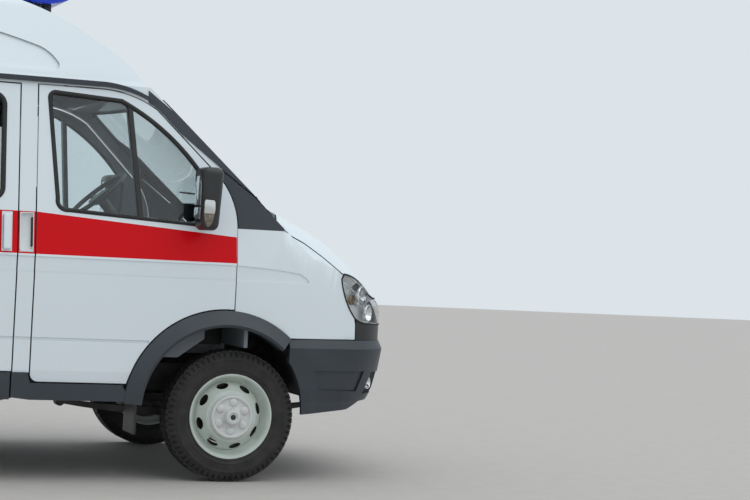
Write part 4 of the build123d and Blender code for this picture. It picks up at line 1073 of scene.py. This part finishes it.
def softened_normals(mesh):
    """A normal for each corner of each face, averaged over the neighbourhood."""
    normals = numpy.empty(len(mesh.polygons) * 3)
    mesh.polygons.foreach_get("normal", normals)
    normals = normals.reshape(-1, 3)
    areas = numpy.empty(len(mesh.polygons))
    mesh.polygons.foreach_get("area", areas)
    faces_of_edge = {}
    faces_of_point = {}
    for face in mesh.polygons:
        for key in face.edge_keys:
            faces_of_edge.setdefault(key, []).append(face.index)
        for point in face.vertices:
            faces_of_point.setdefault(point, []).append(face.index)
    pairs = numpy.array([pair for pair in faces_of_edge.values() if len(pair) == 2])
    straight = (normals[pairs[:, 0]] * normals[pairs[:, 1]]).sum(axis=1)
    pairs = pairs[straight > math.cos(PANEL_EDGE)]
    soft = normals.copy()
    for _ in range(ROUNDS):
        weighted = soft * areas[:, None]
        total = weighted.copy()
        numpy.add.at(total, pairs[:, 0], weighted[pairs[:, 1]])
        numpy.add.at(total, pairs[:, 1], weighted[pairs[:, 0]])
        soft = unit(total)
    corners = []
    for face in mesh.polygons:
        for point in face.vertices:
            near = [index for index in faces_of_point[point] if soft[index] @ soft[face.index] > 0.6]
            corners.append(unit((soft[near] * areas[near][:, None]).sum(axis=0)))
    return corners


def rounded_shading(node, name, body):
    piece = divided(solid_copy(node, name))
    corners = softened_normals(piece.data)
    only(piece)
    bpy.ops.object.shade_smooth()
    paint(piece, plain_paint)
    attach(piece, body)
    piece.data.normals_split_custom_set([tuple(normal) for normal in corners])
    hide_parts(node)
    return piece


for label, _ in SIDES:
    rounded_shading(f"wing_{label}", f"wing_skin_{label}", "chassis")
print("bonnet faces", len(rounded_shading("bonnet", "bonnet_skin", "bonnet").data.polygons))

# %% [markdown]
# ## Mirrors
# Each mirror is a tall black pod on a short foot, with a turn lamp in its outer face and two panes at the back.
# The pod is a block with rounded edges, narrowed towards its foot. The face at the back is inset and pushed in,
# which leaves a lip round the panes. The bar that divides the door's window belongs to the same node, so it is
# taken from the solid as it is.

# %% Mirror pod, foot, panes and turn lamp
MIRROR_X = AXLE_X - 0.223
MIRROR_Y = -1.0835
LAMP_Y = -1.171
CLEAR_HALF = [(-0.267, 1.384), (-0.267, 1.444), (-0.262, 1.454), (-0.216, 1.451), (-0.211, 1.440),
              (-0.210, 1.400), (-0.213, 1.384)]
AMBER_HALF = [(-0.267, 1.382), (-0.213, 1.382), (-0.218, 1.350), (-0.231, 1.324), (-0.243, 1.314),
              (-0.255, 1.324), (-0.264, 1.352)]


def lamp_half(name, outline):
    half = plate(name, [(AXLE_X + x, LAMP_Y, z) for x, z in outline], (0, -0.006, 0))
    return modify(half, "BEVEL", width=0.0018, segments=2)


pod = softened_box("pod", (MIRROR_X, MIRROR_Y, 1.46), (0.116, 0.181, 0.320), 0.038, 5)
squeezed(pod, lambda v: v.co.z < 1.345, (0.80, 1, 1), (MIRROR_X - 0.012, MIRROR_Y, 1.32))
carved(pod, lambda f: f.normal.x < -0.98 and f.area > 0.01, (0.004, 0), (0.002, -0.007))
foot = softened_box("foot", (AXLE_X - 0.178, -0.985, 1.385), (0.060, 0.120, 0.070), 0.018)
bar = trimmed(solid_copy("door_trim_right", "window_bar"), lambda f: f.center.x > AXLE_X - 0.40)
panes = [
    softened_box("pane", (MIRROR_X - 0.055, MIRROR_Y, z), (0.003, 0.110, height), 0.0012, 2)
    for z, height in ((1.500, 0.150), (1.385, 0.058))
]
mirror_parts = (
    (joined("pod", foot, bar, pod), "mirror", black_plastic, "black_plastic"),
    (joined("panes", *panes), "mirror_panes", bright_metal, "chrome_lamp"),
    (lamp_half("clear_half", CLEAR_HALF), "mirror_lamp", silver_lens, "clear_glass"),
    (lamp_half("amber_half", AMBER_HALF), "mirror_amber", smoked_amber, "lamp_lens"),
)
for source, name, material, slot_name in mirror_parts:
    for label, side in SIDES:
        copy = placed(source, f"{name}_{label}", f"front_door_{label}", material, flip=side > 0)
        if name == "mirror":
            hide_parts(f"door_trim_{label}")
    discard(source)
print("mirrors placed at", round(MIRROR_X, 3), MIRROR_Y)

# %% [markdown]
# ## Handles
# The front door is opened by reaching into a cup in the pillar behind it, so its handle is a hollow and a dark
# slit. The cup is an outline laid on the panel, inset for its rim and pushed in for its floor. A ray cast onto
# the panel finds how far out it stands at each height, because the sides lean in above the belt.

# %% Door cups in the pillars
CUP = [(-1.0790, 1.3430), (-1.1380, 1.3430), (-1.1490, 1.3320), (-1.1490, 1.1600), (-1.1380, 1.1490),
       (-1.0790, 1.1490)]
CUP_LOW, CUP_HIGH = 1.149, 1.342
low_y, high_y = (hit_on("side_panel_right", (AXLE_X - 1.0755, -2, z), (0, 1, 0))[0].y for z in (CUP_LOW, CUP_HIGH))
lean = math.degrees(math.atan2(high_y - low_y, CUP_HIGH - CUP_LOW))
cup = chain("cup", [(AXLE_X + x, low_y + (high_y - low_y) * (z - CUP_LOW) / (CUP_HIGH - CUP_LOW) - 0.0012, z)
                    for x, z in CUP])
bpy.ops.mesh.edge_face_add()
for depth in (0.006, 0.012):
    bpy.ops.mesh.inset(thickness=0.0035)
    bpy.ops.mesh.extrude_region_move(TRANSFORM_OT_translate={"value": (0, depth, 0)})
tidy_mesh()
modify(cup, "SOLIDIFY", thickness=0.001, offset=1)
modify(cup, "BEVEL", width=0.0008, segments=2)
slit = softened_box("slit", (0, 0, 0), (0.011, 0.016, 0.148), 0.003, 3)
moved(slit, (AXLE_X - 1.0870, (low_y + high_y) / 2 + 0.006, 1.2455), (-lean, 0, 0))
for label, side in SIDES:
    placed(cup, f"door_cup_{label}", "chassis", white_plastic, flip=side > 0)
    placed(slit, f"door_slit_{label}", "chassis", seal_rubber, flip=side > 0)
discard(cup, slit)
print("door cup leans", round(lean, 1), "degrees")

# %% [markdown]
# ## Nose fittings
# The grille has slats, the bumper's recesses hold round fog lamps, a blank plate sits in the middle, and two
# wipers lie along the foot of the screen. Each one follows the panel behind it, and rays cast onto that panel
# give its points.

# %% Grille slats and fog lamps
OPENING_LOW, OPENING_HIGH = 0.82, 0.95


def front_x(node, y, z, depth=0.0):
    """The front of a node at that place, moved back by a depth."""
    return hit_on(node, (6, y, z), (-1, 0, 0))[0].x - depth


def slat(node, half_width, z, from_z, setback):
    """A rod across the nose that follows the node's front at a height."""
    across = [step / 100 for step in range(-half_width, half_width + 1, 4)]
    return rod("slat", [(front_x(node, y, from_z, setback), y, z) for y in across], 0.0060)


rake = (front_x("grille", 0, OPENING_LOW) - front_x("grille", 0, OPENING_HIGH)) / (OPENING_HIGH - OPENING_LOW)
slats = [slat("grille", 58, z, OPENING_LOW, rake * (z - OPENING_LOW) + 0.012) for z in (0.853, 0.876, 0.899, 0.922)]
slats += [slat("front_bumper", 44, z, 0.62, 0.035) for z in (0.500, 0.530, 0.560)]
finish(joined("grille_slats", *slats), "chassis", black_plastic)
for label, side in SIDES:
    fog = bowl(f"fog_bowl_{label}", 0.032, (AXLE_X + 0.806, side * 0.778, 0.526), side)
    finish(fog, "chassis", bright_metal)
print("grille rake", round(rake, 3))

# %% Number plate, left blank, and the back of the intake
PLATE_Z = 0.635
plate_x = front_x("front_bumper", 0, PLATE_Z)
plate_lean = math.degrees(math.atan2(front_x("front_bumper", 0, 0.70) - front_x("front_bumper", 0, 0.60), 0.10))
front_plate = softened_box("front_plate", (0, 0, 0), (0.003, 0.500, 0.090), 0.0012, 2)
carved(front_plate, lambda f: f.normal.x > 0.95 and f.area > 0.01, (0.006, 0), (0.0015, -0.0008))
moved(front_plate, (plate_x + 0.0013, 0, PLATE_Z), (0, plate_lean, 0))
finish(front_plate, "chassis", white_plastic)
intake_back = softened_box("intake_back", (plate_x - 0.115, 0, 0.530), (0.006, 0.836, 0.116), 0.002, 2)
finish(intake_back, "chassis", black_plastic)
print("plate leans", round(plate_lean, 1))


# %% Wipers
def screen_point(y, z, lift):
    at, normal = hit_on("windscreen", (6, y, z), (-1, 0, 0))
    return at + normal * lift


wipers = []
for pivot_y, tip_y in ((-0.62, 0.02), (0.02, 0.66)):
    reach = tip_y - pivot_y
    wipers.append(rod("blade", [screen_point(pivot_y + reach * t / 8, 1.492 + 0.035 * t / 8, 0.007)
                                for t in range(9)], 0.0055))
    middle = screen_point(pivot_y + reach * 0.5, 1.5095, 0.020)
    foot_at = screen_point(pivot_y - 0.02, 1.475, 0.010)
    wipers.append(rod("arm", [foot_at, (foot_at * 2 + middle) / 3 + Vector((0.012, 0, 0.012)), middle], 0.0065))
    spindle = turned("spindle", [(0.017, -0.020), (0.017, 0.006), (0.012, 0.012), (0.0, 0.013)], 24)
    wipers.append(moved(spindle, foot_at, (0, 0, 90)))
wipers = finish(joined("wipers", *wipers), "chassis", black_plastic)
print("wiper faces", len(wipers.data.polygons))

# %% [markdown]
# ## Rear fittings
# The tail lamps are one moulding on the solid, and its lens material tells an amber, a red and a clear field by
# height. A handle with a cup, a blank plate and a ribbed tread on the step finish the rear.

# %% Rear handle, plate and step
rear_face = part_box("rear_door_right")[0].x
rear_handle = softened_box("rear_handle", (rear_face - 0.009, -0.075, 1.060), (0.022, 0.060, 0.170), 0.008)
carved(rear_handle, lambda f: f.normal.x < -0.9 and f.area > 0.001, (0.010, 0), (0.003, -0.008))
finish(rear_handle, "rear_door_right", black_plastic)
rear_plate = softened_box("rear_plate", (rear_face - 0.002, 0.46, 0.760), (0.005, 0.520, 0.112), 0.0018, 2)
carved(rear_plate, lambda f: f.normal.x < -0.95 and f.area > 0.01, (0.006, 0), (0.0015, -0.0012))
finish(rear_plate, "rear_door_left", white_plastic)
step_low, step_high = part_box("rear_step")
step_ribs = [
    softened_box("rib", (step_low.x + 0.022 + 0.020 * index, 0, step_low.z + 0.075), (0.009, 1.50, 0.006), 0.002, 2)
    for index in range(5)
]
finish(joined("step_tread", *step_ribs), "chassis", trim_plastic)
print("rear face", round(rear_face, 3), "step top", round(step_high.z, 3))

# %% [markdown]
# ## Seats
# A seat cushion is foam under cloth: it swells between its seams and its sides pull in between the corners. So
# each pad starts as a block with rounded edges, a little smaller than the real one, is remeshed evenly and blown
# up by a short cloth simulation with pressure. How far a point may move is capped, which keeps it off its
# neighbours. Subdivision alone would give a pillow with no pull at the corners.

# %% Blow up the pads of one seat
CLOTH_FRAMES = 20
PAD_PRESSURE = 4.0
VOXEL = 0.006


def blown_pad(name, size, rounding, cap):
    """A padded block at the origin. Its points move no further than the cap."""
    pad = softened_box(name, (0, 0, 0), size, rounding, 4)
    modify(pad, "REMESH", mode="VOXEL", voxel_size=VOXEL)
    rest = [vertex.co.copy() for vertex in pad.data.vertices]
    only(pad)
    cloth = pad.modifiers.new("cloth", "CLOTH")
    cloth.settings.use_pressure = True
    cloth.settings.uniform_pressure_force = PAD_PRESSURE
    cloth.settings.effector_weights.gravity = 0
    cloth.settings.quality = 4
    cloth.point_cache.frame_start = 1
    cloth.point_cache.frame_end = CLOTH_FRAMES
    for frame_number in range(1, CLOTH_FRAMES + 1):
        bpy.context.scene.frame_set(frame_number)
    bpy.ops.object.modifier_apply(modifier=cloth.name)
    bpy.context.scene.frame_set(1)
    for vertex, start in zip(pad.data.vertices, rest):
        step = vertex.co - start
        if step.length > cap:
            vertex.co = start + step.normalized() * cap
    return modify(pad, "SUBSURF", levels=1, render_levels=1)


cushion = blown_pad("cushion", (0.440, 0.430, 0.080), 0.030, 0.014)
backrest = blown_pad("backrest", (0.075, 0.430, 0.500), 0.030, 0.014)
headrest = blown_pad("headrest", (0.058, 0.225, 0.130), 0.024, 0.010)
print("pad faces", [len(pad.data.polygons) for pad in (cushion, backrest, headrest)])

# %% Two cab seats
SEAT_Y = 0.45
SEAT_X = AXLE_X - 0.750
welts = [rod("welt", [(0.215, y, 0.049), (0.05, y, 0.053), (-0.215, y, 0.049)], 0.0035) for y in (-0.150, 0.150)]
seat_welts = moved(joined("welts", *welts), (SEAT_X, 0, 0.949), (0, -3, 0))
moved(cushion, (SEAT_X, 0, 0.949), (0, -3, 0))
moved(backrest, (AXLE_X - 0.990, 0, 1.240), (0, -10, 0))
moved(headrest, (AXLE_X - 1.058, 0, 1.590), (0, -8, 0))
pedestal = softened_box("pedestal", (AXLE_X - 0.760, 0, 0.800), (0.400, 0.380, 0.200), 0.020)
squeezed(pedestal, lambda v: v.co.z < 0.75, (0.88, 0.92, 1), (AXLE_X - 0.760, 0, 0.70))
shell = moved(softened_box("shell", (0, 0, 0), (0.030, 0.400, 0.480), 0.012), (AXLE_X - 1.030, 0, 1.235),
              (0, -10, 0))
recliner = softened_box("recliner", (AXLE_X - 0.955, 0, 0.955), (0.060, 0.462, 0.070), 0.015)
posts = [rod("post", [(AXLE_X - 1.030, y, 1.470), (AXLE_X - 1.056, y, 1.560)], 0.0065) for y in (-0.060, 0.060)]
for source, name, material, slot_name in (
    (cushion, "cushion", seat_cloth, "seat_cloth"), (backrest, "backrest", seat_cloth, "seat_cloth"),
    (headrest, "headrest", seat_cloth, "seat_cloth"), (seat_welts, "seat_welts", seal_rubber, "seat_cloth"),
    (joined("base", pedestal, shell, recliner), "seat_base", dash_plastic, "dash_plastic"),
    (joined("posts", *posts), "seat_posts", bright_metal, "black_steel"),
):
    for label, side in SIDES:
        copy = placed(source, f"{name}_{label}", "chassis", material, (0, side * SEAT_Y, 0))
        if name == "seat_base":
            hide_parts("seats")
    discard(source)
print("seats placed at", SEAT_Y)

# %% [markdown]
# ## Steering wheel, dashboard and doors
# The wheel is a ring with three flat spokes and a soft boss, on a column. A torus is the ring, and the spokes are
# blocks with rounded edges. The dashboard's solid gets what the hand finds on it: an instrument hood, air vents
# with vanes, a glove box lid and a blank radio slot. Each door gets a card with an armrest, a pull and a pocket,
# laid along the door's inner face, which rays find as they did for the cups.

# %% Steering wheel
ring = new_from("ring", "torus", major_radius=0.187, minor_radius=0.0135, major_segments=72, minor_segments=16)
boss = softened_box("boss", (0, 0, -0.020), (0.120, 0.150, 0.036), 0.014, 4)
spokes = [
    moved(softened_box("spoke", (0.112, 0, -0.012), (0.150, 0.030, 0.014), 0.005, 3), (0, 0, 0), (0, 0, angle))
    for angle in (90, 210, 330)
]
column = new_from("column", "cylinder", vertices=32, radius=0.030, depth=0.24, location=(0, 0, -0.150))
modify(column, "BEVEL", width=0.004, segments=2)
steering = joined("steering_ring", *spokes, boss, column, ring)
moved(steering, (AXLE_X - 0.450, 0.450, 1.480), (0, -41, 0))
finish(steering, "chassis", black_plastic)
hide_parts("steering_wheel")
print("steering wheel", [round(value, 3) for value in steering.dimensions])

# %% Dashboard fittings
hood = softened_box("hood", (AXLE_X - 0.190, 0.450, 1.335), (0.150, 0.330, 0.060), 0.024)
fittings = [carved(hood, lambda f: f.normal.x < -0.9 and f.area > 0.003, (0.010, 0), (0.004, -0.020))]
for y in (-0.68, -0.12, 0.12, 0.68):
    vent_frame = softened_box("vent_frame", (AXLE_X - 0.287, y, 1.250), (0.020, 0.130, 0.070), 0.006, 3)
    fittings.append(carved(vent_frame, lambda f: f.normal.x < -0.9 and f.area > 0.002, (0.006, 0), (0.002, -0.008)))
    for index in range(4):
        fittings.append(softened_box("vane", (AXLE_X - 0.294, y, 1.232 + 0.012 * index), (0.012, 0.108, 0.003),
                                     0.001, 2))
glove_lid = softened_box("glove_lid", (0, 0, 0), (0.012, 0.330, 0.130), 0.005, 3)
fittings.append(moved(glove_lid, (AXLE_X - 0.272, -0.45, 1.115), (0, 21, 0)))
fittings.append(softened_box("radio", (AXLE_X - 0.292, 0, 1.200), (0.014, 0.185, 0.052), 0.004, 3))
dash_fittings = finish(joined("dash_fittings", *fittings), "chassis", black_plastic)
print("dashboard fittings", len(dash_fittings.data.polygons))

# %% Door cards
CARD_LOW, CARD_HIGH = 0.64, 1.26
CARD = [(-0.96, CARD_LOW), (-0.30, CARD_LOW), (-0.16, 0.74), (-0.16, CARD_HIGH), (-0.96, CARD_HIGH)]
card_low_y, card_high_y = (hit_on("door_right", (AXLE_X - 0.55, 0, z), (0, -1, 0))[0].y
                           for z in (CARD_LOW, CARD_HIGH))


def card_point(x, z, lift):
    """A place on the door's inner face, lifted off it into the cab."""
    return (AXLE_X + x, card_low_y + (card_high_y - card_low_y) * (z - CARD_LOW) / (CARD_HIGH - CARD_LOW) + lift, z)


card = modify(plate("card", [card_point(x, z, 0.0005)
                             for x, z in CARD], (0, 0.008, 0)), "BEVEL", width=0.003, segments=2)
armrest = softened_box("armrest", card_point(-0.62, 1.02, 0.026), (0.300, 0.050, 0.045), 0.016)
pull = softened_box("pull", card_point(-0.42, 1.16, 0.016), (0.120, 0.026, 0.026), 0.009)
pocket = softened_box("pocket", card_point(-0.60, 0.74, 0.022), (0.420, 0.034, 0.120), 0.012)
card = joined("card", armrest, pull, pocket, card)
for label, side in SIDES:
    placed(card, f"door_card_{label}", f"front_door_{label}", dash_plastic, flip=side > 0)
discard(card)
print("door card from", round(card_low_y, 3), "to", round(card_high_y, 3))

# %% [markdown]
# ## Floor, backdrop and light
# An overcast sky is one huge soft lamp, so the world does most of the lighting and one sun, spread over a wide
# patch of sky, adds the gentle direction that the photograph has. The floor is plain and pale. Camera, glossy and
# transmission rays see a pale backdrop, while the light that the world throws on the van is set apart from it.

# %% Stage and light
FLOOR_SIZE = 60
bpy.ops.mesh.primitive_plane_add(size=FLOOR_SIZE, location=(0, 0, 0))
floor_plane = baked(bpy.context.object)
floor_plane.name = "floor_plane"
pale_floor = surface("pale_floor", (0.49, 0.46, 0.435), 0.95, drift=(8.0, (0.48, 0.45, 0.425), (0.50, 0.47, 0.445)),
                     relief=(120, 0.0008))
paint(floor_plane, pale_floor)

world = bpy.data.worlds.new("sky")
bpy.context.scene.world = world
world.use_nodes = True
world.node_tree.nodes.clear()
rays = add(world, "LightPath").outputs
seen = number(world, "MAXIMUM", rays["Is Camera Ray"], rays["Is Transmission Ray"])
skies = add(world, "MixShader")
join(world, number(world, "MAXIMUM", seen, rays["Is Glossy Ray"]), skies.inputs[0])
for socket, colour, strength in ((1, (0.86, 0.945, 1.0, 1), 0.80), (2, (0.80, 0.86, 0.90, 1), 0.9)):
    sky = add(world, "Background")
    sky.inputs["Color"].default_value = colour
    sky.inputs["Strength"].default_value = strength
    join(world, sky.outputs[0], skies.inputs[socket])
join(world, skies.outputs[0], add(world, "OutputWorld").inputs[0])

bpy.ops.object.light_add(type="SUN", location=(AXLE_X + 4, -3, 9))
sky_patch = bpy.context.object
sky_patch.name = "brighter_sky"
sky_patch.data.energy = 0.95
sky_patch.data.angle = math.radians(75)
sky_patch.data.color = (1.0, 0.985, 0.96)
sky_patch.rotation_euler = Vector((-0.28, 0.22, -1)).to_track_quat("-Z", "Y").to_euler()
print("stage and light ready")
